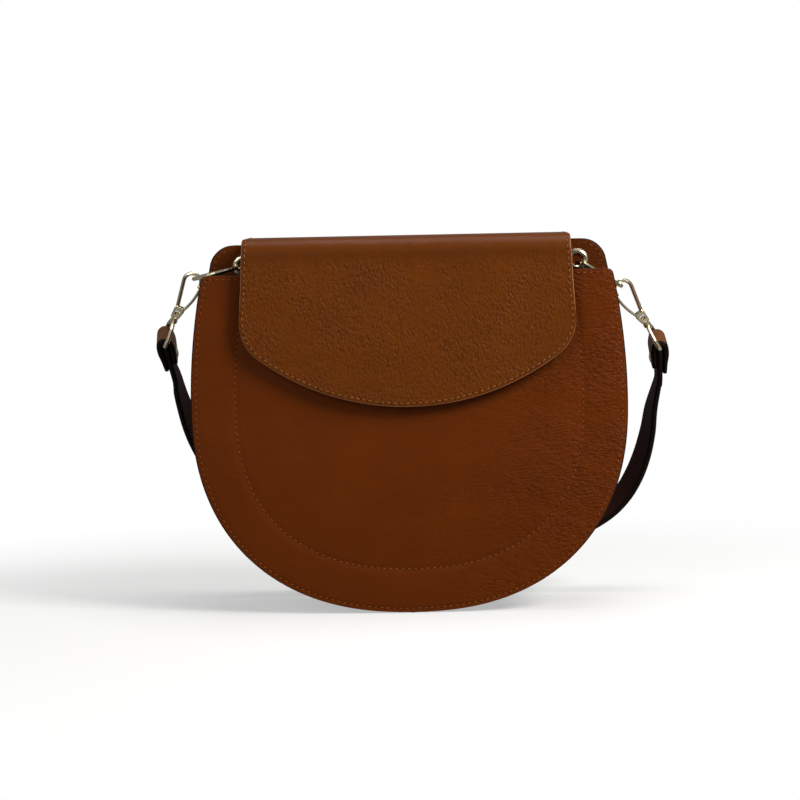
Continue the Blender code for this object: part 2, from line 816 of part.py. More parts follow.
def flap_grid(off, start_height, inset, rows=5):
    """The whole flap face as a grid, straight rows over the top and drawn rows down the front."""
    profile = flap_profile(off, start_height)
    share, edge_x, edge_z = flap_edge_line(inset)
    grid = []
    for y, z in profile:
        down = np.clip((flap_top_height - z) / (flap_top_height - flap_plane_start), 0, 1)
        half = flap_top_half_width + (flap_side_half_width - flap_top_half_width) * down / 2
        if y > bag_depth / 2:
            half = yoke_half_width + (flap_top_half_width - yoke_half_width) * (1 - down) ** 2
        grid.append([((half - inset) * u, y, z) for u in share])
    top = np.array(grid[-1])
    for k in range(1, rows + 1):
        mix = k / rows
        x = top[:, 0] * (1 - mix) + edge_x * mix
        z = top[:, 2] * (1 - mix) + edge_z * mix
        grid.append(np.stack((x, flap_plane_y(z, off), z), 1).tolist())
    return np.array(grid)


flap_leather = grid_object("flap_leather", flap_grid(stand_off, hinge_height + hinge_gap, 0), tan_leather,
                           flap_thick, -1.0)
flap_lining = grid_object("flap_lining", flap_grid(stand_off - seam_gap, flap_top_height, flap_edge_margin),
                          dark_leather, flap_lining_thick, 1.0)
hang_on(flap_leather, flap_frame)
hang_on(flap_lining, flap_frame)

# Magnetic catch, upper half on the flap
stud_face = socket_top + seam_gap + stud_flange_thick
stud_neck = flap_lining_thick - catch_plate_thick + 2 * seam_gap
stud_profile = [(0, stud_face + stud_neck), (catch_neck_radius, stud_face + stud_neck),
                (catch_neck_radius, stud_face), (magnet_radius, stud_face),
                (magnet_radius, stud_face - stud_flange_thick), (stud_radius, stud_face - stud_flange_thick),
                (stud_radius, stud_face - stud_flange_thick - stud_length),
                (0, stud_face - stud_flange_thick - stud_length)]
magnet_stud = turned("magnet_stud", stud_profile, socket_axis)
plate_base = stud_face + stud_neck + seam_gap
stud_plate = cylinder("magnet_stud_plate", catch_plate_radius, catch_plate_thick - seam_gap,
                      socket_axis @ Matrix.Translation((0, 0, plate_base + (catch_plate_thick - seam_gap) / 2)))
plate_cutter = cylinder("stud_plate_cutter", catch_plate_radius + seam_gap, catch_plate_thick + seam_gap,
                        socket_axis @ Matrix.Translation((0, 0, plate_base - seam_gap
                                                          + (catch_plate_thick + seam_gap) / 2)))
stud_cutter = cylinder("stud_neck_cutter", catch_neck_radius + seam_gap, 2 * cut_overrun,
                       socket_axis @ Matrix.Translation((0, 0, plate_base)))
cut(flap_lining, make_cutter(plate_cutter))
cut(flap_lining, make_cutter(stud_cutter))
hang_on(magnet_stud, flap_frame)
hang_on(stud_plate, flap_frame)


# Eyelets, rings and snap hooks, the same on both sides
eyelet_stack = back_outer - facing_front
eyelet_y = float(leaned((back_outer + facing_front) / 2, eyelet_height))
barrel_outer = eyelet_bore + eyelet_wall


def build_eyelet(label, across):
    """A flanged eyelet with a domed face, and the washer on its back."""
    axis = facing_axis((across, eyelet_y, eyelet_height), lean_angle)
    face = eyelet_stack / 2 + seam_gap
    back = -eyelet_stack / 2 - seam_gap - washer_thick - seam_gap - eyelet_lip
    lip = barrel_outer + eyelet_wall
    profile = [(eyelet_bore, face + eyelet_dome / 2), (eyelet_bore + eyelet_wall, face + eyelet_dome),
               ((eyelet_bore + eyelet_flange_radius) / 2, face + eyelet_dome),
               (eyelet_flange_radius - eyelet_wall, face + eyelet_dome * 2 / 3), (eyelet_flange_radius, face),
               (barrel_outer, face), (barrel_outer, back + eyelet_lip), (lip, back + eyelet_lip),
               (lip, back), (eyelet_bore, back)]
    turned("eyelet_" + label, profile, axis)
    top = -eyelet_stack / 2 - seam_gap
    washer_bore = barrel_outer + seam_gap
    turned("eyelet_washer_" + label,
           [(washer_bore, top), (washer_radius, top), (washer_radius, top - washer_thick / 2),
            (washer_radius - washer_thick / 2, top - washer_thick), (washer_bore, top - washer_thick)], axis)
    hole = cylinder("eyelet_cutter_" + label, barrel_outer + seam_gap, eyelet_stack + 2 * cut_overrun, axis)
    make_cutter(hole)
    cut(back_panel, hole)
    cut(back_facing, hole)


def build_ring(label, side, across, droop):
    """A wire ring through the eyelet, seen edge-on; gives the far end that carries the hook."""
    slack = eyelet_bore - ring_wire_radius - seam_gap * 2
    outward = Vector((side * math.cos(droop), 0, -math.sin(droop)))
    pivot = Vector((across, eyelet_y, eyelet_height)) + outward * slack
    frame = empty("ring_frame_" + label, pivot, (0, 0, 0))
    bpy.ops.mesh.primitive_torus_add(major_radius=ring_radius, minor_radius=ring_wire_radius,
                                     major_segments=36, minor_segments=8)
    ring = bpy.context.object
    for collection in list(ring.users_collection):
        collection.objects.unlink(ring)
    bag_collection.objects.link(ring)
    ring.name = "ring_" + label
    ring.data.materials.append(material(pale_gold))
    ring.data.shade_smooth()
    turn = Matrix.Rotation(droop * side, 4, "Y")
    ring.data.transform(turn)
    ring.data.transform(Matrix.Translation(outward * ring_radius))
    ring.parent = frame
    ring.rotation_euler = (0, 0, 0)
    ring.location = (0, 0, 0)
    return pivot + outward * 2 * ring_radius


# Places in a hook's own plane: v towards the bag, u up, from the crown's middle
crown_inner = crown_radius - hook_wire_radius
crown_drop = crown_inner - ring_wire_radius - crown_gap
spine_v = spine_flare - crown_radius
block_top = -spine_length + block_length / 8
block_bottom = block_top - block_length
block_near = spine_v - hook_wire_radius
block_far = block_near + block_reach + hook_wire_radius
window_low = block_bottom + window_inset
window_high = window_low + window_length
window_near = block_near + hook_wire_radius
swivel_v = window_near + window_width / 2
pin_v = spine_v + gate_pin_reach
pin_u = block_bottom + gate_pin_rise
gate_tip_v = crown_radius + hook_wire_radius / 2
gate_tip_u = -nose_ball_radius * 1.5 - gate_tip_gap
gate_bulge_u = (gate_tip_u + pin_u) * gate_bulge_share
loop_bar_u = block_bottom - seam_gap - bead_length - loop_length


def hook_place(side, v, u, w=0.0):
    """A place in the hook's plane, as a place under the clip's empty."""
    return (-side * v, w, u - crown_drop)


def build_hook(label, side, clip_frame):
    lead = math.pi + crown_lead
    arc = np.linspace(lead, math.pi * -0.05, 14)
    head_v = crown_radius * math.cos(lead)
    head_u = crown_radius * math.sin(lead)
    line = [hook_place(side, spine_v, block_top - block_length / 3)]
    line += [hook_place(side, spine_v + (head_v - spine_v) * share, block_top + (head_u - block_top) * share)
             for share in np.linspace(0, 1, 5)[:-1]]
    line += [hook_place(side, crown_radius * math.cos(a), crown_radius * math.sin(a)) for a in arc]
    hook = wire("hook_" + label, line, hook_wire_radius, pale_gold, parent=clip_frame)
    body = prism("hook_block_" + label,
                 [hook_place(side, v, u) for v, u in
                  ((block_near, block_bottom), (block_far - block_taper, block_bottom),
                   (block_far, block_top - block_length * 2 / 5), (block_far, block_top), (block_near, block_top))],
                 block_depth, hook_wire_radius / 2, clip_frame)
    cut(hook, make_cutter(body), "UNION")
    ball = bpy.data.meshes.new("hook_nose_" + label)
    work = bmesh.new()
    bmesh.ops.create_uvsphere(work, u_segments=12, v_segments=8, radius=nose_ball_radius)
    work.to_mesh(ball)
    work.free()
    nose = add_object("hook_nose_" + label, ball, pale_gold)
    nose.parent = clip_frame
    nose.location = hook_place(side, crown_radius, -nose_ball_radius / 2)
    cut(hook, make_cutter(nose), "UNION")
    for name, v_low, v_high, u_low, u_high, half in (
            ("window", window_near, window_near + window_width, window_low, window_high, block_depth),
            ("slot", pin_v - gate_thick, block_far + cut_overrun, pin_u - gate_thick, 0, gate_slot / 2)):
        near, far = sorted((-side * v_low, -side * v_high))
        opening = block("hook_" + name + "_cutter_" + label, (near, -half, u_low - crown_drop),
                        (far, half, u_high - crown_drop), parent=clip_frame)
        cut(hook, make_cutter(opening))
    pin_hole = cylinder("gate_pin_cutter_" + label, gate_pin_radius + pin_clearance,
                        block_depth + 2 * cut_overrun, Matrix.Rotation(math.pi / 2, 4, "X"), steps=12)
    pin_hole.parent = clip_frame
    pin_hole.location = hook_place(side, pin_v, pin_u)
    cut(hook, make_cutter(pin_hole))
    stem_hole = cylinder("stem_cutter_" + label, stem_radius + pin_clearance, window_inset * 2,
                         Matrix.Identity(4), steps=16)
    stem_hole.parent = clip_frame
    stem_hole.location = hook_place(side, swivel_v, block_bottom)
    cut(hook, make_cutter(stem_hole))
    return hook


def build_gate(label, side, clip_frame):
    """A curved wire gate on a cross pin; its origin is on the pin."""
    pivot = Vector(hook_place(side, pin_v, pin_u))
    frame = empty("gate_frame_" + label, pivot, (0, 0, 0), clip_frame)
    line = []
    for t in np.linspace(0, 1, 10):
        v = (1 - t) ** 2 * pin_v + 2 * t * (1 - t) * (gate_bulge * 2 - (pin_v + gate_tip_v) / 2) \
            + t ** 2 * gate_tip_v
        u = (1 - t) ** 2 * pin_u + 2 * t * (1 - t) * (gate_bulge_u * 2 - (pin_u + gate_tip_u) / 2) \
            + t ** 2 * gate_tip_u
        line.append(Vector(hook_place(side, v, u)) - pivot)
    gate = wire("gate_" + label, line, gate_thick / 2, pale_gold, parent=frame)
    hub = cylinder("gate_hub_" + label, gate_thick / 2 + pin_clearance, gate_thick * 0.9,
                   Matrix.Rotation(math.pi / 2, 4, "X"), steps=14)
    hub.parent = frame
    cut(gate, make_cutter(hub), "UNION")
    pin = cylinder("gate_pin_" + label, gate_pin_radius, block_depth, Matrix.Rotation(math.pi / 2, 4, "X"),
                   steps=12)
    pin.parent = frame
    cut(gate, make_cutter(pin), "UNION")
    return gate


def loop_place(u, w=0.0):
    """A place in the loop's plane, as a place under the loop's empty, on the swivel's axis."""
    return (0, w, u - crown_drop)


def build_loop(label, loop_frame):
    """The swivel loop: a headed stem, a bead and a flat-bottomed wire loop."""
    bead_top = block_bottom - seam_gap
    bead_bottom = bead_top - bead_length
    head_low = window_low + seam_gap
    head_high = head_low + stem_head_thick
    profile = [(0, head_high), (stem_head_radius, head_high), (stem_head_radius, head_low),
               (stem_radius, head_low), (stem_radius, bead_top), (bead_radius * 2 / 3, bead_top),
               (bead_radius, bead_top - bead_length / 4), (bead_radius, bead_bottom + bead_length / 4),
               (bead_radius * 2 / 3, bead_bottom), (0, bead_bottom)]
    half = strap_width / 2 + strap_side_gap
    outer = half + loop_wire_radius
    top = bead_bottom + loop_wire_radius * 0.7
    line = [(0, top), (half / 3, top - loop_wire_radius / 3), (half * 0.75, top - loop_shoulder),
            (outer, top - loop_shoulder - loop_length / 3), (outer + loop_wire_radius / 2, loop_bar_u + loop_shoulder),
            (outer, loop_bar_u + loop_wire_radius / 2), (outer - loop_wire_radius, loop_bar_u)]
    line = line + [(-w, u) for w, u in line[:0:-1]]
    points = [loop_place(u, w) for w, u in line]
    loop = wire("loop_" + label, points, loop_wire_radius, pale_gold, True, loop_frame)
    stem = turned("loop_stem_" + label, profile, Matrix.Translation(loop_place(0)), steps=16)
    stem.parent = loop_frame
    cut(loop, make_cutter(stem), "UNION")
    return loop


def rivet_profile(grip):
    """A two-capped rivet through a thickness, as a turned profile."""
    half = grip / 2 + seam_gap
    return [(0, half + rivet_cap_height), (rivet_cap_radius * 0.55, half + rivet_cap_height * 0.8),
            (rivet_cap_radius, half + rivet_cap_height * 0.2), (rivet_cap_radius, half),
            (rivet_shank_radius, half), (rivet_shank_radius, -half), (rivet_cap_radius, -half),
            (rivet_cap_radius, -half - rivet_cap_height * 0.2),
            (rivet_cap_radius * 0.55, -half - rivet_cap_height * 0.8), (0, -half - rivet_cap_height)]


tab_radius = strap_thick / 2 + seam_gap + tab_thick / 2
tab_grip = strap_thick + 2 * seam_gap + 2 * tab_thick


def build_tab(label, side, loop_frame, lean_angle_tab, clip_lean):
    """The end piece folded round the loop's bar, its rivet, and the frame the strap leaves from."""
    bar = loop_place(loop_bar_u)
    tab_frame = empty("tab_frame_" + label, bar, (0, side * (clip_lean - lean_angle_tab), 0), loop_frame)
    outer_leg = tab_long_leg
    inner_leg = tab_short_leg
    line = [(side * tab_radius, 0, z) for z in np.linspace(-outer_leg, 0, 4)]
    line += [(side * tab_radius * math.cos(a), 0, tab_radius * math.sin(a))
             for a in np.linspace(0, math.pi, 11)[1:-1]]
    line += [(-side * tab_radius, 0, z) for z in np.linspace(0, -inner_leg, 4)]
    across = [(0, 1, 0)] * len(line)
    tab = swept_strip("strap_tab_" + label, line, across, strap_width, tab_thick, tan_leather, tab_frame)
    rivet_axis = Matrix.Translation((0, 0, -tab_rivet_drop)) @ Matrix.Rotation(math.pi / 2, 4, "Y")
    rivet = turned("tab_rivet_" + label, rivet_profile(tab_grip), rivet_axis, steps=16)
    rivet.parent = tab_frame
    hole = cylinder("tab_rivet_cutter_" + label, rivet_shank_radius + rivet_clearance,
                    tab_grip + 2 * cut_overrun, rivet_axis, steps=16)
    hole.parent = tab_frame
    make_cutter(hole)
    cut(tab, hole)
    bpy.context.view_layer.update()
    return tab_frame, hole


sides = (("right", 1, eyelet_x_right, ring_droop_right, clip_lean_right, tab_lean_right, loop_turn_right),
         ("left", -1, -eyelet_x_left, ring_droop_left, clip_lean_left, tab_lean_left, loop_turn_left))
ends = {}
for label, side, across, droop, clip_lean, tab_lean, loop_turn in sides:
    build_eyelet(label, across)
    far_end = build_ring(label, side, across, droop)
    clip_frame = empty("clip_frame_" + label, far_end, (clip_tilt, -side * clip_lean, 0))
    build_hook(label, side, clip_frame)
    build_gate(label, side, clip_frame)
    loop_frame = empty("loop_frame_" + label, (-side * swivel_v, 0, 0), (0, 0, loop_turn), clip_frame)
    build_loop(label, loop_frame)
    ends[label] = build_tab(label, side, loop_frame, tab_lean, clip_lean)


# Strap route, from the right clip down behind the bag, through a flat stack of folds, to the left clip
fold_pitch = strap_thick + fold_gap
strap_centre_y = back_outer + strap_back_gap + strap_width / 2
# Each place: share of the bag's half width, share of the way back to the stack, share of the front height
right_shares = ((1.150, 0.30, 0.560), (1.134, 0.50, 0.490), (1.108, 0.70, 0.420), (1.070, 0.85, 0.356),
                (1.020, 0.94, 0.300), (0.955, 0.99, 0.252), (0.880, 1.00, 0.215), (0.790, 1.00, 0.182),
                (0.690, 1.00, 0.155), (0.585, 1.00, 0.136))
left_low_shares = ((0.460, 1.00, 0.0165),)
left_shares = ((0.985, 0.85, 0.424), (1.028, 0.72, 0.482), (1.064, 0.58, 0.542), (1.094, 0.40, 0.602),
               (1.116, 0.26, 0.660))
twist_right_shares = (0.45, 0.7, 0.9, 1, 1, 0.9, 0.7, 0.45, 0.2, 0.05)
twist_left_shares = (0.8, 1, 0.9, 0.55, 0.25)
strap_twist = math.radians(17)


def side_places(shares, sign, start_y):
    return [(sign * bag_half_width * a, start_y + (strap_centre_y - start_y) * b, front_height * c)
            for a, b, c in shares]


def end_places(frame, drops):
    return [frame.matrix_world @ Vector((0, 0, -drop)) for drop in drops]


def fold_places():
    """The flat folds: straight runs joined by half turns, from the top layer to the bottom."""
    places = []
    for layer in range(fold_layers - 1, -1, -1):
        z = strap_thick / 2 + seam_gap + fold_pitch * layer
        sign = 1 if layer % 2 == 0 else -1
        places += [(sign * fold_half_length * share, strap_centre_y, z) for share in (1, 0.5, 0, -0.5, -1)]
        if layer > 0:
            turn = np.linspace(0, math.pi, 8)[1:-1]
            places += [(-sign * (fold_half_length + fold_pitch / 2 * math.sin(a)), strap_centre_y,
                        z - fold_pitch / 2 * (1 - math.cos(a))) for a in turn]
    return places


right_frame, right_hole = ends["right"]
left_frame, left_hole = ends["left"]
leg_end = tab_long_leg + tab_thick * 1.5
strap_start = loop_wire_radius + strap_thick / 4
leg_clear = leg_end + tab_thick * 1.5
right_end = end_places(right_frame, (strap_start, tab_rivet_drop, leg_end, leg_clear))
left_end = end_places(left_frame, (leg_clear, leg_end, tab_rivet_drop, strap_start))
right_places = side_places(right_shares, 1, right_end[-1].y)
left_places = side_places(left_shares, -1, left_end[0].y)
left_low = side_places(left_low_shares, -1, left_end[0].y)
folds = fold_places()


def smooth_line(places, twists, step):
    """A smooth curve through places at even steps (Catmull-Rom), with the twist read along it."""
    places = np.array([tuple(place) for place in places])
    twists = np.array(twists, float)
    padded = np.vstack((2 * places[0] - places[1], places, 2 * places[-1] - places[-2]))
    points = []
    turned_by = []
    for i in range(len(places) - 1):
        p0, p1, p2, p3 = padded[i:i + 4]
        count = max(1, int(np.linalg.norm(p2 - p1) / step))
        for t in np.arange(count) / count:
            points.append(0.5 * (2 * p1 + (p2 - p0) * t + (2 * p0 - 5 * p1 + 4 * p2 - p3) * t ** 2
                                 + (3 * p1 - p0 - 3 * p2 + p3) * t ** 3))
            turned_by.append(twists[i] * (1 - t) + twists[i + 1] * t)
    points.append(places[-1])
    turned_by.append(twists[-1])
    return np.array(points), np.array(turned_by)


def across_of(points, turned_by):
    """Width directions: as near to the depth axis as the route allows, then twisted."""
    forward = np.gradient(points, axis=0)
    forward /= np.linalg.norm(forward, axis=1)[:, None]
    depth = np.zeros_like(points)
    depth[:, 1] = 1
    across = depth - (depth * forward).sum(1)[:, None] * forward
    across /= np.linalg.norm(across, axis=1)[:, None]
    normal = np.cross(forward, across)
    return across * np.cos(turned_by)[:, None] - normal * np.sin(turned_by)[:, None]


def end_twist(frame, sign):
    """The twist that lays the strap's width along the end piece's width."""
    turn = frame.matrix_world.to_3x3()
    forward = turn @ Vector((0, 0, sign))
    depth = Vector((0, 1, 0))
    across = (depth - forward * depth.dot(forward)).normalized()
    normal = forward.cross(across)
    width = turn @ depth
    return math.atan2(-width.dot(normal), width.dot(across))


twist_right = [end_twist(right_frame, -1)] * len(right_end) + [strap_twist * share for share in twist_right_shares]
twist_left = [strap_twist * share for share in twist_left_shares] + [end_twist(left_frame, 1)] * len(left_end)
step_length = strap_width * 0.36

# The buckle sits on a straight stretch behind the bag's lower left
run_low = Vector((-bag_half_width * run_low_share[0], strap_centre_y, front_height * run_low_share[1]))
run_high = Vector((-bag_half_width * run_high_share[0], strap_centre_y, front_height * run_high_share[1]))
run_up = (run_high - run_low).normalized()
run_across = Vector((0, 1, 0))
run_out = run_across.cross(run_up)
run_matrix = Matrix((run_out, run_across, run_up)).transposed().to_4x4()
run_matrix.translation = run_low + run_up * buckle_place_up
buckle_frame_empty = empty("buckle_place", run_matrix.translation, run_matrix.to_euler())


def buckle_point(out, up, across=0.0):
    return run_matrix @ Vector((out, across, up))


fold_radius = buckle_wire_radius + seam_gap + short_thick / 2
heel_out = -fold_radius
tail_out = short_thick / 2 + seam_gap + strap_thick / 2
rise_start = -buckle_place_up
rise_end = -short_thick * 2


def long_out(up):
    """How far the long part stands out from the run's line at a height: a smooth step."""
    share = min(max((up - rise_start) / (rise_end - rise_start), 0), 1)
    return tail_out * share * share * (3 - 2 * share)


# Long part of the strap
folded = right_end + right_places + folds + left_low + [buckle_point(long_out(rise_start), rise_start)]
twist_long = twist_right + [0] * (len(folded) - len(twist_right))
bend_points, bend_twist = smooth_line(folded, twist_long, step_length)
tail_ups = np.linspace(rise_start, tail_length, 14)[1:]
tail_points = np.array([tuple(buckle_point(long_out(up), up)) for up in tail_ups])
long_points = np.vstack((bend_points, tail_points))
long_twist = np.append(bend_twist, np.zeros(len(tail_points)))
strap_long = swept_strip("strap_long", long_points, across_of(long_points, long_twist), strap_width,
                         strap_thick, dark_leather)
print("long part of the strap:", round(float(np.linalg.norm(np.diff(long_points, axis=0), axis=1).sum()), 4))
cut(strap_long, right_hole)

# Short part: from the left clip down to the buckle, round its bar and back up the inner side
short_folded = [buckle_point(0, taper_end)] + left_places + left_end
short_twist = [0] + twist_left
upper_points, upper_twist = smooth_line(short_folded, short_twist, step_length)
turn = np.linspace(0, math.pi, 11)
fold_line = [buckle_point(-2 * fold_radius, up) for up in (short_return, short_return / 2)]
fold_line += [buckle_point(heel_out - fold_radius * math.cos(a), -fold_radius * math.sin(a)) for a in turn]
fold_line += [buckle_point(0, up) for up in np.linspace(0, taper_start, 5)[1:]]
fold_line = np.array([tuple(point) for point in fold_line])
short_points = np.vstack((fold_line, upper_points))
short_twists = np.append(np.zeros(len(fold_line)), upper_twist)
thick = np.append(np.full(len(fold_line), short_thick), np.full(len(upper_points), strap_thick))
short_across = across_of(short_points, short_twists)
strap_short = swept_strip("strap_short", short_points, short_across, strap_width, thick, dark_leather)
cut(strap_short, left_hole)
print("short part of the strap:", round(float(np.linalg.norm(np.diff(short_points, axis=0), axis=1).sum()), 4))

# Buckle
side_across = strap_width / 2 + buckle_side_gap + buckle_wire_radius
far_up = -buckle_length
far_out = long_out(far_up) + strap_thick / 2 + 2 * seam_gap + buckle_wire_radius
corner = buckle_wire_radius
heel = (heel_out, 0)
far = (far_out, far_up)


def frame_spot(share, across):
    """A place on the buckle's plane: share 0 is the heel bar, share 1 the far bar."""
    return (heel[0] + (far[0] - heel[0]) * share, across, heel[1] + (far[1] - heel[1]) * share)


corner_share = corner / buckle_length
frame_line = [frame_spot(0, -side_across + corner), frame_spot(0, side_across - corner),
              frame_spot(corner_share, side_across), frame_spot(1 - corner_share, side_across),
              frame_spot(1, side_across - corner), frame_spot(1, -side_across + corner),
              frame_spot(1 - corner_share, -side_across), frame_spot(corner_share, -side_across)]
buckle = wire("buckle_frame", frame_line, buckle_wire_radius, pale_gold, True, buckle_frame_empty)

prong_place = empty("prong_place", (heel_out, 0, 0), (0, 0, 0), buckle_frame_empty)
hub_inner = buckle_wire_radius + pin_clearance
rest_out = far_out + buckle_wire_radius + prong_radius + pin_clearance - heel_out
prong_line = [(0, 0, -prong_hub_radius + prong_radius), (0, 0, -prong_turn * 0.75),
              (prong_radius * 2, 0, -prong_turn), (rest_out * 0.5, 0, -prong_turn * 1.04),
              (rest_out * 0.85, 0, -prong_turn * 1.15), (rest_out, 0, -prong_turn * 1.5),
              (rest_out, 0, far_up - buckle_wire_radius)]
prong = wire("prong", prong_line, prong_radius, pale_gold, parent=prong_place)
prong_hub = cylinder("prong_hub", prong_hub_radius, prong_width, Matrix.Rotation(math.pi / 2, 4, "X"))
prong_hub.parent = prong_place
cut(prong, make_cutter(prong_hub), "UNION")
prong_bore = cylinder("prong_bore", hub_inner, prong_width * 2, Matrix.Rotation(math.pi / 2, 4, "X"))
prong_bore.parent = prong_place
cut(prong, make_cutter(prong_bore))

slot_half = prong_width / 2 + strap_side_gap / 2
slot_reach = prong_hub_radius + strap_side_gap
fold_slot = block("fold_slot_cutter", (heel_out - slot_reach - cut_overrun, -slot_half, -cut_overrun * 2),
                  (heel_out + slot_reach + cut_overrun, slot_half, slot_reach), parent=buckle_frame_empty)
cut(strap_short, make_cutter(fold_slot))
for index in range(hole_count):
    up = -prong_turn + hole_pitch * (index - 2)
    half = prong_hole_half if index == 2 else strap_hole_radius
    hole = cylinder("strap_hole_cutter_" + str(index + 1), strap_hole_radius, strap_thick + 2 * cut_overrun,
                    Matrix.Translation((long_out(up), 0, up)) @ Matrix.Rotation(math.pi / 2, 4, "Y")
                    @ Matrix.Diagonal((half / strap_hole_radius, 1, 1, 1)), steps=16)
    hole.parent = buckle_frame_empty
    cut(strap_long, make_cutter(hole))


def build_keeper(name, place, low_out, high_out):
    """A leather band round the strap's layers."""
    frame = empty(name + "_place", (0, 0, place), (0, 0, 0), buckle_frame_empty)
    half = strap_width / 2 + seam_gap
    band = block(name, (low_out - seam_gap - keeper_thick, -half - keeper_thick, -keeper_width / 2),
                 (high_out + seam_gap + keeper_thick, half + keeper_thick, keeper_width / 2),
                 dark_leather, frame, keeper_thick * 0.6)
    opening = block(name + "_opening", (low_out - seam_gap, -half, -keeper_width),
                    (high_out + seam_gap, half, keeper_width), parent=frame)
    cut(band, make_cutter(opening))
    return band


tail_face = tail_out + strap_thick / 2
build_keeper("keeper_fixed", fixed_keeper_place, -2 * fold_radius - short_thick / 2, tail_face)
build_keeper("keeper_loose", loose_keeper_place, -short_thick / 2, tail_face)
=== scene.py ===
import math

import bmesh
import bpy
import numpy as np
from mathutils import Euler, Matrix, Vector


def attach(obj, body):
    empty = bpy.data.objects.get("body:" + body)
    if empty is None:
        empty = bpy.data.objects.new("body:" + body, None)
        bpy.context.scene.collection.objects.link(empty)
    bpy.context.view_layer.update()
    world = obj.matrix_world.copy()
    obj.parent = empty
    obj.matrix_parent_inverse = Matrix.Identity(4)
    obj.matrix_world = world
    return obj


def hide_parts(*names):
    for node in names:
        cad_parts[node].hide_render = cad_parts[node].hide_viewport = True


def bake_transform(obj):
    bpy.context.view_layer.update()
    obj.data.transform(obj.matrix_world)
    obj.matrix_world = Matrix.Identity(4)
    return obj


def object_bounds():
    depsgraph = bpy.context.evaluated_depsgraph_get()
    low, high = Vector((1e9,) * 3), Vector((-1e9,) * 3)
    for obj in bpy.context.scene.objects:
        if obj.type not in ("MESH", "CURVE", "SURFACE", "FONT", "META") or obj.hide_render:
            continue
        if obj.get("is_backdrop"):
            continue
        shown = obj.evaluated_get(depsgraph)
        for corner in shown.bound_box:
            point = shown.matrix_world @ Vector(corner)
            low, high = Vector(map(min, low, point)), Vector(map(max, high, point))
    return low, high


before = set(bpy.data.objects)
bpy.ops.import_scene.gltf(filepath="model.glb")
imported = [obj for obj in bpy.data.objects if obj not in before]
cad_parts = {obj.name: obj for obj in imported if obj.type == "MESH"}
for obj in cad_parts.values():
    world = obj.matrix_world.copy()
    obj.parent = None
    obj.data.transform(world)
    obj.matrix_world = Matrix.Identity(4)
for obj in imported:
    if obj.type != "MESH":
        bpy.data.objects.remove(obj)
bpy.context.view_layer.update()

print("frame loaded")


# colours and nodes
def hexToLinear(code):
    # each channel: below 0.04045 divide by 12.92, above it ((c + 0.055) / 1.055) to the power 2.4
    parts = [int(code[i:i + 2], 16) / 255 for i in (1, 3, 5)]
    return tuple(c / 12.92 if c <= 0.04045 else ((c + 0.055) / 1.055) ** 2.4 for c in parts) + (1,)


def addNode(tree, kind, links=None, **settings):
    # makes a node, sets its properties, its sockets (by name or number) and a ramp's ease and stops
    # (place, then colour or grey), and links sockets into it
    node = tree.nodes.new(kind)
    for key, value in settings.items():
        if key == "sockets":
            for name, number in value.items():
                node.inputs[name].default_value = number
        elif key == "ease":
            node.color_ramp.interpolation = value
        elif key == "stops":
            while len(node.color_ramp.elements) < len(value):
                node.color_ramp.elements.new(0.5)
            for element, (place, colour) in zip(node.color_ramp.elements, value):
                element.position = place
                element.color = colour if isinstance(colour, tuple) else (colour, colour, colour, 1)
        else:
            setattr(node, key, value)
    for name, source in (links or {}).items():
        tree.links.new(source, node.inputs[name])
    return node


def newMaterial(name, roughness, metallic=0.0, **sockets):
    # a material with its node tree and its shader; other sockets are given by name, _ for a space
    made = bpy.data.materials.new(name)
    made.use_nodes = True
    shader = made.node_tree.nodes["Principled BSDF"]
    shader.inputs["Roughness"].default_value = roughness
    shader.inputs["Metallic"].default_value = metallic
    for key, value in sockets.items():
        shader.inputs[key.replace("_", " ")].default_value = value
    return made, made.node_tree, shader


def tinted(colour, share):
    # each channel times the share
    return tuple(c * share for c in colour[:3]) + (1,)


def dress(tree, shader, height, strength, depth, colour=None, rough=None):
    # the height shades the surface through a bump; a colour and a roughness pattern go straight in
    relief = addNode(tree, "ShaderNodeBump", {"Height": height},
                     sockets={"Strength": strength, "Distance": depth})
    for name, source in (("Normal", relief.outputs["Normal"]), ("Base Color", colour),
                         ("Roughness", rough)):
        if source is not None:
            tree.links.new(source, shader.inputs[name])


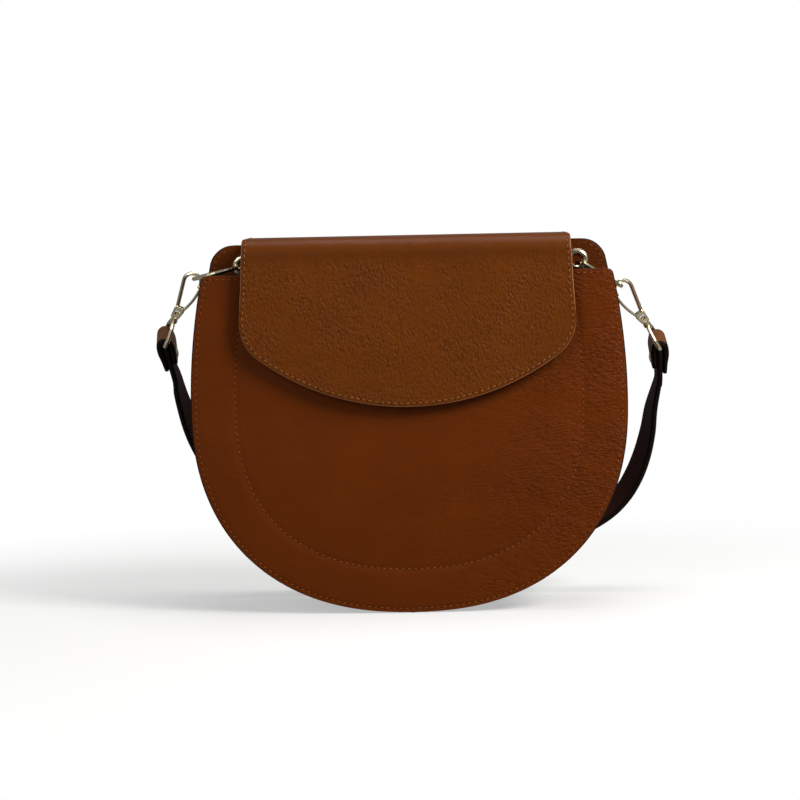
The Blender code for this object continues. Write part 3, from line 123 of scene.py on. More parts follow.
def pebbledCalf(name, code, cellMm, depth, roughness, shine, grainFadeAndShade=None, side=None):
    # chrome tanned calf, tumbled so that the grain draws up into small long pebbles, with a thin satin
    # finish: rounded pebbles with painted shade in their valleys, slow cloudy changes of tone, a broad
    # soft sheen. The upward setting (grain fade and shade) and the across one (side) are two places and
    # the shares of the grain at them; above the upward places the colour also turns darker, as painted
    # shade
    made, tree, shader = newMaterial(name, roughness, Specular_IOR_Level=shine)
    place = addNode(tree, "ShaderNodeTexCoord").outputs["Object"]
    warp = addNode(tree, "ShaderNodeTexNoise", {"Vector": place},
                   sockets={"Scale": 190.0, "Detail": 3.0, "Roughness": 0.6})
    pull = addNode(tree, "ShaderNodeMixRGB", {"Color1": place, "Color2": warp.outputs["Color"]},
                   blend_type="LINEAR_LIGHT", sockets={"Fac": 0.0009})
    cells = addNode(tree, "ShaderNodeMapping", {"Vector": pull.outputs["Color"]},
                    sockets={"Scale": tuple(1000 / size for size in cellMm)})
    pebbles = addNode(tree, "ShaderNodeTexVoronoi", {"Vector": cells.outputs["Vector"]},
                      feature="SMOOTH_F1", sockets={"Scale": 1.0, "Smoothness": 0.55})
    dome = addNode(tree, "ShaderNodeValToRGB", {"Fac": pebbles.outputs["Distance"]}, ease="EASE",
                   stops=((0.1, 1.0), (0.4, 0.7), (0.75, 0.0)))
    fine = addNode(tree, "ShaderNodeTexNoise", {"Vector": cells.outputs["Vector"]},
                   sockets={"Scale": 1.1, "Detail": 4.0, "Roughness": 0.62, "Distortion": 0.4})
    patches = addNode(tree, "ShaderNodeTexNoise", {"Vector": place},
                      sockets={"Scale": 38.0, "Detail": 2.0})
    amount = addNode(tree, "ShaderNodeValToRGB", {"Fac": patches.outputs["Fac"]},
                     stops=((0.3, 0.35), (0.68, 1.0))).outputs["Color"]
    eased = {}
    for axis, limits in (("Z", grainFadeAndShade), ("X", side)):
        if limits:
            along = addNode(tree, "ShaderNodeSeparateXYZ", {"Vector": place}).outputs[axis]
            names = ("From Min", "From Max", "To Min", "To Max")
            eased[axis] = addNode(tree, "ShaderNodeMapRange", {"Value": along},
                                  interpolation_type="SMOOTHSTEP", sockets=dict(zip(names, limits)))
            amount = addNode(tree, "ShaderNodeMath", {0: amount, 1: eased[axis].outputs[0]},
                             operation="MULTIPLY").outputs[0]
    mixed = addNode(tree, "ShaderNodeMath", {0: fine.outputs["Fac"], 2: dome.outputs["Color"]},
                    operation="MULTIPLY_ADD", sockets={1: 1.1})
    grain = addNode(tree, "ShaderNodeMath", {0: mixed.outputs[0], 1: amount}, operation="MULTIPLY")
    cloud = addNode(tree, "ShaderNodeTexNoise", {"Vector": place},
                    sockets={"Scale": 22.0, "Detail": 4.0, "Roughness": 0.6})
    base = hexToLinear(code)
    light = tuple(min(c * 1.08 + 0.0006, 1) for c in base[:3]) + (1,)
    shade = addNode(tree, "ShaderNodeValToRGB", {"Fac": cloud.outputs["Fac"]},
                    stops=((0.32, tinted(base, 0.9)), (0.5, base), (0.7, light)))
    # painted shade: where the grain is low the colour is mixed towards the base times 0.6, as shade in
    # the valleys between the pebbles
    low = addNode(tree, "ShaderNodeValToRGB", {"Fac": mixed.outputs[0]}, ease="EASE",
                  stops=((0.4, 0.7), (1.0, 0.0)))
    dip = addNode(tree, "ShaderNodeMath", {0: low.outputs["Color"], 1: amount}, operation="MULTIPLY")
    skin = addNode(tree, "ShaderNodeMixRGB", {"Fac": dip.outputs[0], "Color1": shade.outputs["Color"]},
                   sockets={"Color2": tinted(base, 0.6)})
    # painted shade: above the upward places the colour is mixed most of the way to the base times 0.7, so
    # the top of the flap's bend reads darker
    if grainFadeAndShade:
        skin = addNode(tree, "ShaderNodeMixRGB", {"Fac": eased["Z"].outputs[0],
                                                  "Color2": skin.outputs["Color"]},
                       sockets={"Color1": tinted(base, 0.7)})
    rough = addNode(tree, "ShaderNodeValToRGB", {"Fac": cloud.outputs["Fac"]},
                    stops=((0.3, roughness + 0.06), (0.7, roughness - 0.04)))
    dress(tree, shader, grain.outputs[0], 1.0, depth, skin.outputs["Color"], rough.outputs["Color"])
    return made


def edgePaint(name, code):
    # acrylic edge paint on cut leather: nearly black, smooth, a little glossy, faintly uneven
    made, tree, shader = newMaterial(name, 0.45, Base_Color=hexToLinear(code), Specular_IOR_Level=0.12)
    place = addNode(tree, "ShaderNodeTexCoord").outputs["Object"]
    lumps = addNode(tree, "ShaderNodeTexNoise", {"Vector": place},
                    sockets={"Scale": 500.0, "Detail": 3.0})
    dress(tree, shader, lumps.outputs["Fac"], 0.5, 0.00006)
    return made


def suedeBack(name, code):
    # flesh side of leather, buffed: matt, with a short nap
    made, tree, shader = newMaterial(name, 0.85, Specular_IOR_Level=0.1)
    place = addNode(tree, "ShaderNodeTexCoord").outputs["Object"]
    nap = addNode(tree, "ShaderNodeTexNoise", {"Vector": place},
                  sockets={"Scale": 900.0, "Detail": 4.0, "Roughness": 0.7}).outputs["Fac"]
    base = hexToLinear(code)
    shade = addNode(tree, "ShaderNodeValToRGB", {"Fac": nap},
                    stops=((0.3, tinted(base, 0.7)), (0.7, base)))
    dress(tree, shader, nap, 0.6, 0.0001, shade.outputs["Color"])
    return made


def cottonTwill(name, code, threadMm=0.45):
    # cotton twill lining, woven on a slant: fine diagonal ribs, matt. The wave turns by 20 radians in
    # each unit, so the ribs lie 2 * pi * threadMm apart: coarser than real, so that they show
    made, tree, shader = newMaterial(name, 0.92, Specular_IOR_Level=0.12)
    place = addNode(tree, "ShaderNodeUVMap", uv_map="sheet").outputs["UV"]
    turned = addNode(tree, "ShaderNodeMapping", {"Vector": place},
                     sockets={"Rotation": (0, 0, math.radians(27))})
    ribs = addNode(tree, "ShaderNodeTexWave", {"Vector": turned.outputs["Vector"]},
                   sockets={"Scale": 1000 / threadMm / 20, "Distortion": 0.6, "Detail": 2.0,
                            "Detail Scale": 3.0}).outputs["Fac"]
    base = hexToLinear(code)
    shade = addNode(tree, "ShaderNodeValToRGB", {"Fac": ribs},
                    stops=((0.2, tinted(base, 0.55)), (0.8, base)))
    dress(tree, shader, ribs, 0.7, 0.0001, shade.outputs["Color"])
    return made


def champagnePlate(name, code, roughness=0.2):
    # cast zinc, polished and plated pale champagne gold: bright, soft reflections with light wear
    made, tree, shader = newMaterial(name, roughness, 1.0)
    place = addNode(tree, "ShaderNodeTexCoord").outputs["Object"]
    wear = addNode(tree, "ShaderNodeTexNoise", {"Vector": place},
                   sockets={"Scale": 180.0, "Detail": 5.0, "Roughness": 0.65}).outputs["Fac"]
    base = hexToLinear(code)
    shade = addNode(tree, "ShaderNodeValToRGB", {"Fac": wear},
                    stops=((0.35, tinted(base, 0.86)), (0.6, base)))
    rough = addNode(tree, "ShaderNodeValToRGB", {"Fac": wear},
                    stops=((0.3, roughness + 0.12), (0.6, roughness)))
    dress(tree, shader, wear, 0.25, 0.00005, shade.outputs["Color"], rough.outputs["Color"])
    return made


def waxedThread(name, code):
    # bonded polyester thread, waxed: twisted plies with a dull shine
    made, tree, shader = newMaterial(name, 0.55, Specular_IOR_Level=0.1)
    place = addNode(tree, "ShaderNodeTexCoord").outputs["Object"]
    plies = addNode(tree, "ShaderNodeTexNoise", {"Vector": place},
                    sockets={"Scale": 1500.0, "Detail": 1.0}).outputs["Fac"]
    base = hexToLinear(code)
    shade = addNode(tree, "ShaderNodeValToRGB", {"Fac": plies},
                    stops=((0.35, tinted(base, 0.6)), (0.6, base)))
    dress(tree, shader, plies, 0.5, 0.0001, shade.outputs["Color"])
    return made


# the leathers: pebble size in mm, depth of the grain in metres
calf = {
    # the flap's upward heights fade its grain and bring in painted shade over the top of its bend
    "flap": {"code": "#6A3303", "cellMm": (1.2, 2.0, 2.0), "depth": 0.00034, "roughness": 0.38,
             "shine": 0.11, "grainFadeAndShade": (0.198, 0.209, 1.0, 0.25)},
    "body": {"code": "#642A01", "cellMm": (2.6, 1.6, 1.35), "depth": 0.00036, "roughness": 0.44,
             "shine": 0.09, "side": (0.0, 0.1, 0.16, 1.0)},
    "ear": {"code": "#602B07", "cellMm": (1.6, 1.6, 1.6), "depth": 0.00012, "roughness": 0.46,
            "shine": 0.08},
    "tab": {"code": "#6A3A12", "cellMm": (1.2, 1.2, 1.2), "depth": 0.00008, "roughness": 0.46,
            "shine": 0.16},
    "strap": {"code": "#2C0E05", "cellMm": (1.0, 1.0, 1.0), "depth": 0.00006, "roughness": 0.5,
              "shine": 0.03}}
finishes = {"thread": "#8C4E22", "flapThread": "#9A6434", "lining": "#1E130D", "suede": "#2E1C12",
            "edge": "#120A08", "shoulderLight": "#A06A48", "holeShade": "#1C0A04", "plate": "#F2E6C4",
            "coil": "#1B1512"}
flapCalf = pebbledCalf("flapTumbledCalf", **calf["flap"])
bodyCalf = pebbledCalf("bodyTumbledCalf", **calf["body"])
earCalf = pebbledCalf("earTumbledCalf", **calf["ear"])
tabCalf = pebbledCalf("tabTumbledCalf", **calf["tab"])
strapHide = pebbledCalf("strapBridleHide", **calf["strap"])
blackEdge = edgePaint("paintedEdge", finishes["edge"])
# painted highlight: a light tan for the first ring of a rim, as light caught on the rounded shoulder of
# the flap's cut edge
paintedShoulderLight = edgePaint("paintedShoulderHighlight", finishes["shoulderLight"])
paintedHoleShade = edgePaint("needleHoleShade", finishes["holeShade"])
fleshSide = suedeBack("buffedFleshSide", finishes["suede"])
twill = cottonTwill("liningTwill", finishes["lining"])
plated = champagnePlate("champagnePlate", finishes["plate"])
thread = waxedThread("waxedThread", finishes["thread"])
flapThread = waxedThread("flapWaxedThread", finishes["flapThread"])
print("materials made")


# mesh helpers
noiseCells = 64  # the noise repeats after this many cells
rimBulge = 0.7  # how far a rim stands out, as a share of half the thickness
creaseAngle = math.radians(50)  # cut edges that bend more than this stay sharp


def softNoise(u, v, seed):
    # value noise: random numbers on a grid, blended with a smooth step in both directions
    table = np.random.RandomState(seed).rand(noiseCells, noiseCells)
    iu, iv = np.floor(u).astype(int), np.floor(v).astype(int)
    fu, fv = u - iu, v - iv
    fu, fv = fu * fu * (3 - 2 * fu), fv * fv * (3 - 2 * fv)
    iu, iv, nextU, nextV = (i % noiseCells for i in (iu, iv, iu + 1, iv + 1))
    a, b, c, d = table[iu, iv], table[nextU, iv], table[iu, nextV], table[nextU, nextV]
    return (a * (1 - fu) + b * fu) * (1 - fv) + (c * (1 - fu) + d * fu) * fv - 0.5


def finishMesh(name, vertices, faces, materials, faceMaterial=None, uv=None, smooth=True):
    # a mesh from points and faces, with its normals outwards, as a piece at the origin; each point
    # may have a place on the flat sheet, in metres
    mesh = bpy.data.meshes.new(name)
    mesh.from_pydata(np.asarray(vertices, float).reshape(-1, 3).tolist(), [], faces)
    for material in materials:
        mesh.materials.append(material)
    if faceMaterial is not None:
        mesh.polygons.foreach_set("material_index", np.asarray(faceMaterial, np.int32))
    if uv is not None:
        layer = mesh.uv_layers.new(name="sheet")
        loops = np.zeros(len(mesh.loops), np.int32)
        mesh.loops.foreach_get("vertex_index", loops)
        layer.data.foreach_set("uv", np.asarray(uv, np.float32)[loops].ravel())
    work = bmesh.new()
    work.from_mesh(mesh)
    bmesh.ops.recalc_face_normals(work, faces=work.faces)
    work.to_mesh(mesh)
    work.free()
    if smooth:
        mesh.shade_smooth()
    mesh.update()
    piece = bpy.data.objects.new(name, mesh)
    bpy.context.scene.collection.objects.link(piece)
    return piece


def unit(vectors):
    # each vector divided by its length
    return vectors / np.maximum(np.linalg.norm(vectors, axis=-1), 1e-12)[..., None]


def thickSheet(name, top, bottom, materials, rimRings=3, shoulder=None):
    # a closed sheet between two grids of points; its rim is a half round of a few rings:
    # middle + half thickness * cos(angle) + outward * half thickness * rimBulge * sin(angle).
    # Materials are for the top, the bottom and the rim; a shoulder is the rim's first ring
    rows, columns = top.shape[:2]
    count = rows * columns
    index = np.arange(count).reshape(rows, columns)
    quads = np.stack((index[:-1, :-1], index[:-1, 1:], index[1:, 1:], index[1:, :-1]), -1).reshape(-1, 4)
    loop = np.concatenate((index[0, :], index[1:, -1], index[-1, -2::-1], index[-2:0:-1, 0]))
    inner = np.concatenate((index[1, :], index[1:, -2], index[-2, -2::-1], index[-2:0:-1, 1]))
    topPoints, bottomPoints = top.reshape(-1, 3), bottom.reshape(-1, 3)
    outward = unit(topPoints[loop] - topPoints[inner])
    middle = (topPoints[loop] + bottomPoints[loop]) / 2
    half = (topPoints[loop] - bottomPoints[loop]) / 2
    reach = np.linalg.norm(half, axis=1)[:, None] * rimBulge
    rings = []
    for k in range(1, rimRings + 1):
        angle = math.pi * k / (rimRings + 1)
        rings.append(middle + half * math.cos(angle) + outward * reach * math.sin(angle))
    vertices = np.concatenate([topPoints, bottomPoints] + rings)
    span = len(loop)
    loops = [loop] + [2 * count + k * span + np.arange(span) for k in range(rimRings)] + [loop + count]
    rim = []
    for first, second in zip(loops[:-1], loops[1:]):
        rim.append(np.stack((first, np.roll(first, -1), np.roll(second, -1), second), -1))
    rim = np.concatenate(rim)
    faces = np.concatenate((quads, quads[:, ::-1] + count, rim))
    kinds = np.concatenate((np.zeros(len(quads)), np.full(len(quads), min(1, len(materials) - 1)),
                            np.full(len(rim), len(materials) - 1)))
    if shoulder is not None:
        materials = materials + [shoulder]
        kinds[2 * len(quads):2 * len(quads) + span] = len(materials) - 1
    widthRun = np.cumsum(np.linalg.norm(np.diff(top, axis=1), axis=2), 1)
    across = np.concatenate((np.zeros((rows, 1)), widthRun), 1)
    heightRun = np.cumsum(np.linalg.norm(np.diff(top, axis=0), axis=2), 0)
    down = np.concatenate((np.zeros((1, columns)), heightRun))
    flat = np.stack((across - across[:, -1:] / 2, down), -1).reshape(-1, 2)
    uv = np.concatenate([flat, flat] + [flat[loop]] * rimRings)
    return finishMesh(name, vertices, faces.tolist(), materials, kinds, uv)


def acrossOf(path, twist):
    # width direction: the depth axis made square to the path, then turned about the path by the twist
    forward = unit(np.gradient(path, axis=0))
    across = unit(np.array([0, 1.0, 0]) - forward[:, 1:2] * forward)
    return across * np.cos(twist)[:, None] - np.cross(forward, across) * np.sin(twist)[:, None]


def band(name, path, across, width, thick, materials, columns=13, lift=0.0):
    # a flat strap: each face is half the thickness from the path, along its direction crossed with
    # the width direction; lift moves both faces that way
    path = np.asarray(path, float)
    thick = np.broadcast_to(np.asarray(thick, float), len(path))[:, None]
    width = np.broadcast_to(np.asarray(width, float), len(path))[:, None]
    forward = unit(np.gradient(path, axis=0))
    across = unit(across - (across * forward).sum(1)[:, None] * forward)
    face = np.cross(forward, across)
    reach = (width - rimBulge * thick) * np.linspace(-0.5, 0.5, columns)[None, :]
    middle = (path[:, None, :] + across[:, None, :] * reach[..., None]
              + face[:, None, :] * np.asarray(lift)[..., None])
    half = face[:, None, :] * thick[..., None] / 2
    return thickSheet(name, middle + half, middle - half, materials)


def punch(piece, cutters):
    # cuts closed cutter pieces out of a piece, leaves a plain mesh and removes the cutters
    for cutter in cutters:
        step = piece.modifiers.new("hole", "BOOLEAN")
        step.solver, step.operation, step.object = "EXACT", "DIFFERENCE", cutter
    bpy.context.view_layer.update()
    mesh = bpy.data.meshes.new_from_object(piece.evaluated_get(bpy.context.evaluated_depsgraph_get()))
    piece.modifiers.clear()
    piece.data = mesh
    mesh.set_sharp_from_angle(angle=creaseAngle)
    for cutter in cutters:
        bpy.data.objects.remove(cutter)


def gridArea(grid):
    # the sum of the grid's quads, each as two triangles
    first = np.cross(grid[1:, :-1] - grid[:-1, :-1], grid[:-1, 1:] - grid[:-1, :-1])
    second = np.cross(grid[1:, :-1] - grid[1:, 1:], grid[:-1, 1:] - grid[1:, 1:])
    return float((np.linalg.norm(first, axis=2) + np.linalg.norm(second, axis=2)).sum() / 2)


def declareCloth(piece):
    # returns the cloth piece as it is
    return piece


def runOf(path):
    # distance run along a path up to each of its points
    return np.concatenate(([0], np.cumsum(np.linalg.norm(np.diff(path, axis=0), axis=1))))


def pointsAt(at, run, path):
    # the path's places at given distances, each coordinate drawn straight between its points
    return np.stack([np.interp(at, run, path[:, k]) for k in range(3)], 1)


def stitchRow(name, path, normals, pitch, length, radius, rise=-0.00004, slant=7.0, shift=0.5,
              material=None):
    # saddle stitches: short six-sided capsules along a path at an even pitch, each turned by the
    # slant in the surface, with both ends dipping into their holes
    path, normals, near = np.asarray(path, float), np.asarray(normals, float), 0.0005
    run = runOf(path)
    number = max(2, int(run[-1] / pitch))
    at = (np.arange(number) + shift) * run[-1] / number
    centre, normal = pointsAt(at, run, path), unit(pointsAt(at, run, normals))
    along = pointsAt(at + near, run, path) - pointsAt(at - near, run, path)
    along = unit(along - (along * normal).sum(1)[:, None] * normal)
    side = np.cross(normal, along)
    tip = math.radians(slant)
    along, side = (along * math.cos(tip) + side * math.sin(tip),
                   side * math.cos(tip) - along * math.sin(tip))
    reach = np.array([-1.0, -0.82, -0.4, 0.0, 0.4, 0.82, 1.0]) * length / 2
    thickness = np.array([0.25, 0.72, 1.0, 1.0, 1.0, 0.72, 0.25]) * radius
    height = rise + radius * np.array([-1.6, -0.55, 0.15, 0.3, 0.15, -0.55, -1.6])
    angle = np.arange(6) * math.pi / 3
    outward = height[:, None] + thickness[:, None] * np.sin(angle)
    sideways = thickness[:, None] * np.cos(angle)
    rings = (centre[:, None, None] + along[:, None, None] * reach[None, :, None, None]
             + normal[:, None, None] * outward[None, ..., None]
             + side[:, None, None] * sideways[None, ..., None])
    index = np.arange(rings.size // 3).reshape(rings.shape[:3])
    following = np.roll(index, -1, axis=2)
    faces = np.stack((index[:, :-1], following[:, :-1], following[:, 1:], index[:, 1:]), -1)
    ends = index[:, 0, ::-1].tolist() + index[:, -1].tolist()
    return finishMesh(name, rings, faces.reshape(-1, 4).tolist() + ends, [material or thread])


def smoothPath(points, step):
    # cubic curve through the points, sampled at about the given step; its slope at each point is half
    # the way from the point before to the point after
    points = np.asarray(points, float)
    padded = np.vstack((2 * points[0] - points[1], points, 2 * points[-1] - points[-2]))
    out = []
    for i in range(len(points) - 1):
        p0, p1, p2, p3 = padded[i:i + 4]
        steps = max(1, int(np.linalg.norm((p2 - p1)[:3]) / step))
        t = (np.arange(steps) / steps)[:, None]
        out.append(0.5 * (2 * p1 + (p2 - p0) * t + (2 * p0 - 5 * p1 + 4 * p2 - p3) * t ** 2
                          + (3 * p1 - p0 - 3 * p2 + p3) * t ** 3))
    return np.vstack(out + [points[-1:]])


def keep(piece, body, slot, *nodes):
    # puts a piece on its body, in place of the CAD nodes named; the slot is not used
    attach(piece, body)
    if nodes:
        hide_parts(*nodes)


# the bag's outline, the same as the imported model's
bag = {"halfWidth": 0.1253, "bellyHeight": 0.120, "power": 2.3, "frontHeight": 0.1958,
       "earHeight": 0.2122, "sideDraw": 0.0077, "depth": 0.066, "mouthDraw": 0.0074,
       "leanZone": 0.011, "thick": 0.0018, "frontCorner": 0.003, "earCorner": 0.0125, "gap": 0.0003,
       "lowStart": 0.007}
frontOuter, frontInner = -bag["thick"] / 2, bag["thick"] / 2
backOuter = bag["depth"] - bag["thick"] / 2
backInner = backOuter - bag["thick"]
lean = bag["mouthDraw"] / bag["frontHeight"]
leanAngle = math.atan(lean)


def leaned(y, z):
    # y moves with height: towards the back at the front panel, towards the front at the back panel
    along = (y - (frontInner + bag["leanZone"])) / (backInner - frontInner - 2 * bag["leanZone"])
    return y + lean * z * (1 - 2 * np.clip(along, 0, 1))


def faceAt(y):
    # a plain face at depth y, which leans with the bag
    return lambda gridX, gridZ: leaned(y, gridZ)


def halfLine(inset, top, corner=0.0, spacing=0.0018):
    # superellipse below, drawn-in sides above, moved inwards, cut at the top with a round corner,
    # resampled at an even spacing
    turn = np.linspace(0, math.pi / 2, 400)
    x = bag["halfWidth"] * np.sin(turn) ** (2 / bag["power"])
    z = bag["bellyHeight"] * (1 - np.cos(turn) ** (2 / bag["power"]))
    rise = np.linspace(0, 1, 200)[1:] * (bag["earHeight"] - bag["bellyHeight"])
    drawn = bag["sideDraw"] * (rise / (bag["frontHeight"] - bag["bellyHeight"])) ** 2
    x, z = np.append(x, bag["halfWidth"] - drawn), np.append(z, bag["bellyHeight"] + rise)
    xAll, zAll = np.concatenate((-x[:0:-1], x)), np.concatenate((z[:0:-1], z))
    along = unit(np.stack((np.gradient(xAll), np.gradient(zAll)), 1))
    right = slice(len(x) - 1, None)
    x, z = (xAll - along[:, 1] * inset)[right], (zAll + along[:, 0] * inset)[right]
    start = np.searchsorted(x, bag["lowStart"])
    x, z = x[start:], z[start:]
    z[0] = inset
    xTop, below = np.interp(top, z, x), z < top - max(corner, 1e-9)
    if corner:
        xLow = np.interp(top - corner, z, x)
        arc = np.linspace(0, math.pi / 2, 16)
        xEnd = xLow - corner + corner * np.cos(arc) - (xLow - xTop) * np.sin(arc) * 0.5
        zEnd = top - corner + corner * np.sin(arc)
    else:
        xEnd, zEnd = xTop, top
    x, z = np.append(x[below], xEnd), np.append(z[below], zEnd)
    run = runOf(np.stack((x, z), 1))
    at = np.linspace(0, run[-1], max(8, int(run[-1] / spacing)))
    return np.interp(at, run, x), np.interp(at, run, z)


rimX, rimZ = halfLine(0, bag["earHeight"], 0, 0.002)
rimPoints = np.stack((np.append(-rimX[::-1], rimX), np.append(rimZ[::-1], rimZ)), 1)


def fromRim(x, z):
    # distance of each point to the outline, sides and bottom
    flat = np.stack((x.ravel(), z.ravel()), 1)
    best = np.full(len(flat), 1.0)
    for a, b in zip(rimPoints[:-1], rimPoints[1:]):
        d = b - a
        t = np.clip(((flat - a) @ d) / (d @ d), 0, 1)
        best = np.minimum(best, np.hypot(*(flat - a - t[:, None] * d).T))
    return best.reshape(x.shape)


leather = {"stitchInset": 0.0022, "stitchHalf": 0.0010, "pocketInset": 0.025, "pocketHalf": 0.0014,
           "grooveDepth": 0.0002, "puff": 0.0009, "puffEase": 0.02, "wrinkle": 0.00016,
           "swell": 0.0006, "swellSize": (0.06, 0.05), "backSwellSize": (0.05, 0.06),
           "rimEase": 0.03, "sag": 0.0012, "sagZ": 0.07, "sagHalf": 0.05, "sagTop": 0.118,
           "sagEase": 0.03, "catchZ": 0.146, "catchHigh": 0.02, "catchWide": 0.03,
           "wrinkleShort": 0.0034, "wrinkleLong": 0.013, "wrinkleWarp": 0.02, "wrinkleEase": 0.006,
           "drawnFrom": -0.02, "drawnOver": 0.1, "drawnLeast": 0.12}


def bump(x, width):
    # a soft bump: e to the power of minus (x / width) squared
    return np.exp(-(x / width) ** 2)


def frontRelief(x, z):
    # how far the front panel's face stands out: sag in the belly, soft bands either side of the
    # pocket seam, dips at both stitch lines, and slanted wrinkles that are stronger on the right.
    # The catch holds the bands down
    d = fromRim(x, z)
    sag = (leather["sag"] * np.clip(d / leather["sagHalf"], 0, 1) ** 0.8
           * bump(z - leather["sagZ"], leather["sagHalf"])
           * np.clip((leather["sagTop"] - z) / leather["sagEase"], 0, 1))
    outside = leather["puff"] * 0.5 * np.sin(np.pi * np.clip(d / leather["pocketInset"], 0, 1)) ** 0.7
    inside = leather["puff"] * 0.6 * np.clip((d - leather["pocketInset"]) / leather["puffEase"], 0, 1)
    dips = leather["grooveDepth"] * (bump(d - leather["stitchInset"], leather["stitchHalf"])
                                     + 1.6 * bump(d - leather["pocketInset"], leather["pocketHalf"]))
    wide, high = leather["swellSize"]
    slow = (softNoise(x / wide + 3, z / high + 9, 5) * leather["swell"]
            * np.clip(d / leather["rimEase"], 0, 1))
    warp = softNoise(x / leather["wrinkleWarp"], z / leather["wrinkleWarp"], 8) * 1.5
    lines = softNoise((x * 0.5 + z) / leather["wrinkleShort"] + warp,
                      (x - z * 0.4) / leather["wrinkleLong"] + warp, 11)
    right = (np.clip((x - leather["drawnFrom"]) / leather["drawnOver"], leather["drawnLeast"], 1)
             * np.clip(d / leather["wrinkleEase"], 0, 1))
    calm = np.clip(np.abs(z - leather["catchZ"]) / leather["catchHigh"]
                   + np.abs(x) / leather["catchWide"] - 0.5, 0, 1)
    return sag + (outside + inside + slow) * calm - dips + lines * leather["wrinkle"] * 2 * right


def panelSheet(name, x, z, columns, outerY, innerY, materials, held=None):
    # a panel between two faces: each row of the half outline is spread evenly from side to side
    gridX = x[:, None] * np.linspace(-1, 1, columns + 1)[None, :]
    gridZ = np.broadcast_to(z[:, None], gridX.shape)
    top, bottom = (np.stack((gridX, face(gridX, gridZ), gridZ), -1) for face in (outerY, innerY))
    piece = thickSheet(name, top, bottom, materials)
    return declareCloth(piece) if held else piece


def frontFace(x, z):
    # the front panel's outer face: its lean less its relief
    return leaned(frontOuter, z) - frontRelief(x, z)


detail = 0.0017
x, z = halfLine(0, bag["frontHeight"], bag["frontCorner"], detail)
frontPanel = panelSheet("frontPanelLeather", x, z, int(2 * bag["halfWidth"] / detail), frontFace,
                        lambda gx, gz: leaned(frontInner, gz) - frontRelief(gx, gz) * 0.6,
                        [bodyCalf, fleshSide, blackEdge])
keep(frontPanel, "bag", "tan_leather", "front_panel")


def backFace(x, z):
    # the back panel's outer face: its lean, a slow swell and the dip of its stitch line
    d = fromRim(x, z)
    wide, high = leather["backSwellSize"]
    slow = softNoise(x / wide + 13, z / high + 2, 25) * leather["swell"]
    relief = (slow * np.clip(d / leather["rimEase"], 0, 1)
              - leather["grooveDepth"] * bump(d - leather["stitchInset"], leather["stitchHalf"]))
    return leaned(backOuter, z) + relief


x, z = halfLine(0, bag["earHeight"], bag["earCorner"], detail * 1.3)
backPanel = panelSheet("backPanelLeather", x, z, int(2 * bag["halfWidth"] / detail / 1.4), backFace,
                       faceAt(backInner), [bodyCalf, fleshSide, blackEdge])
keep(backPanel, "bag", "tan_leather", "back_panel")

facing = {"thick": 0.0014, "height": 0.0194, "spacing": 0.0009, "columns": 200}
facingFront = backInner - bag["gap"] - facing["thick"]
facingBottom = bag["earHeight"] - facing["height"]
x, z = halfLine(bag["gap"], bag["earHeight"] - bag["gap"], bag["earCorner"], facing["spacing"])
upper = z > facingBottom
x, z = np.append(np.interp(facingBottom, z, x), x[upper]), np.append(facingBottom, z[upper])
backFacing = panelSheet("backFacingLeather", x, z, facing["columns"], faceAt(facingFront),
                        faceAt(facingFront + facing["thick"]), [earCalf, fleshSide, blackEdge])
keep(backFacing, "bag", "tan_leather", "back_facing")
print("panels made")

# gusset: a channel section carried round the D, its ends dipping between the panels
gusset = {"flange": 0.0042, "flat": 0.0031, "thick": 0.0014, "fold": 0.0010, "bulge": 0.0020,
          "dip": 0.019, "drop": 0.0010, "ripple": 0.0011, "ripples": 40, "belowEar": 0.004,
          "spacing": 0.0006}


def aroundD(section, rows, topOf):
    # each (depth, inset) point of the section follows the outline moved inwards by its inset, up to
    # the height that topOf gives for its depth
    grid = np.zeros((rows + 1, len(section), 3))
    for j, (depth, inset) in enumerate(section):
        x, z = halfLine(inset, bag["earHeight"] - gusset["belowEar"], 0, gusset["spacing"])
        run = runOf(np.stack((x, z), 1)) + x[0]
        at = np.linspace(-1, 1, rows + 1) * np.interp(topOf(depth), z, run)
        xs = np.interp(np.abs(at), np.append(0, run), np.append(0, x)) * np.sign(at)
        zs = np.interp(np.abs(at), np.append(0, run), np.append(z[0], z))
        grid[:, j] = np.stack((xs, leaned(np.full(rows + 1, depth), zs), zs), 1)
    return grid


def inwardOf(grid):
    # cross product of the directions along both axes of the grid, pointing up at its lowest place
    normal = unit(np.cross(np.gradient(grid, axis=0), np.gradient(grid, axis=1)))
    return normal * np.sign(normal[len(grid) // 2, grid.shape[1] // 2, 2])


def mouthLine(depth, low, high, drop, dip):
    # top edge between the panels: straight from front to back, less dip * sin(pi * share) squared
    share = (depth - low) / (high - low)
    front, back = bag["frontHeight"] - drop, facingBottom - bag["gap"]
    return front + (back - front) * share - dip * math.sin(math.pi * share) ** 2


gussetLow, gussetHigh = frontInner + bag["gap"], backInner - bag["gap"]
turn = np.linspace(0, math.pi / 2, 7)
nearSide = [(gussetLow + gusset["thick"], inset)
            for inset in np.linspace(bag["gap"], gusset["flat"], 4)]
nearSide += [(gussetLow + gusset["thick"] + gusset["fold"] * (1 - math.cos(a)),
              gusset["flange"] - gusset["fold"] * (1 - math.sin(a))) for a in turn]
startDepth = nearSide[-1][0]
middle = [(startDepth + (gussetLow + gussetHigh - 2 * startDepth) * s,
           gusset["flange"] - gusset["bulge"] * math.sin(math.pi * s))
          for s in np.linspace(0, 1, 26)[1:-1]]
section = nearSide + middle + [(gussetLow + gussetHigh - depth, inset)
                               for depth, inset in nearSide[::-1]]
outer = aroundD(section, 200,
                lambda depth: mouthLine(depth, gussetLow, gussetHigh, gusset["drop"], gusset["dip"]))
inward = inwardOf(outer)
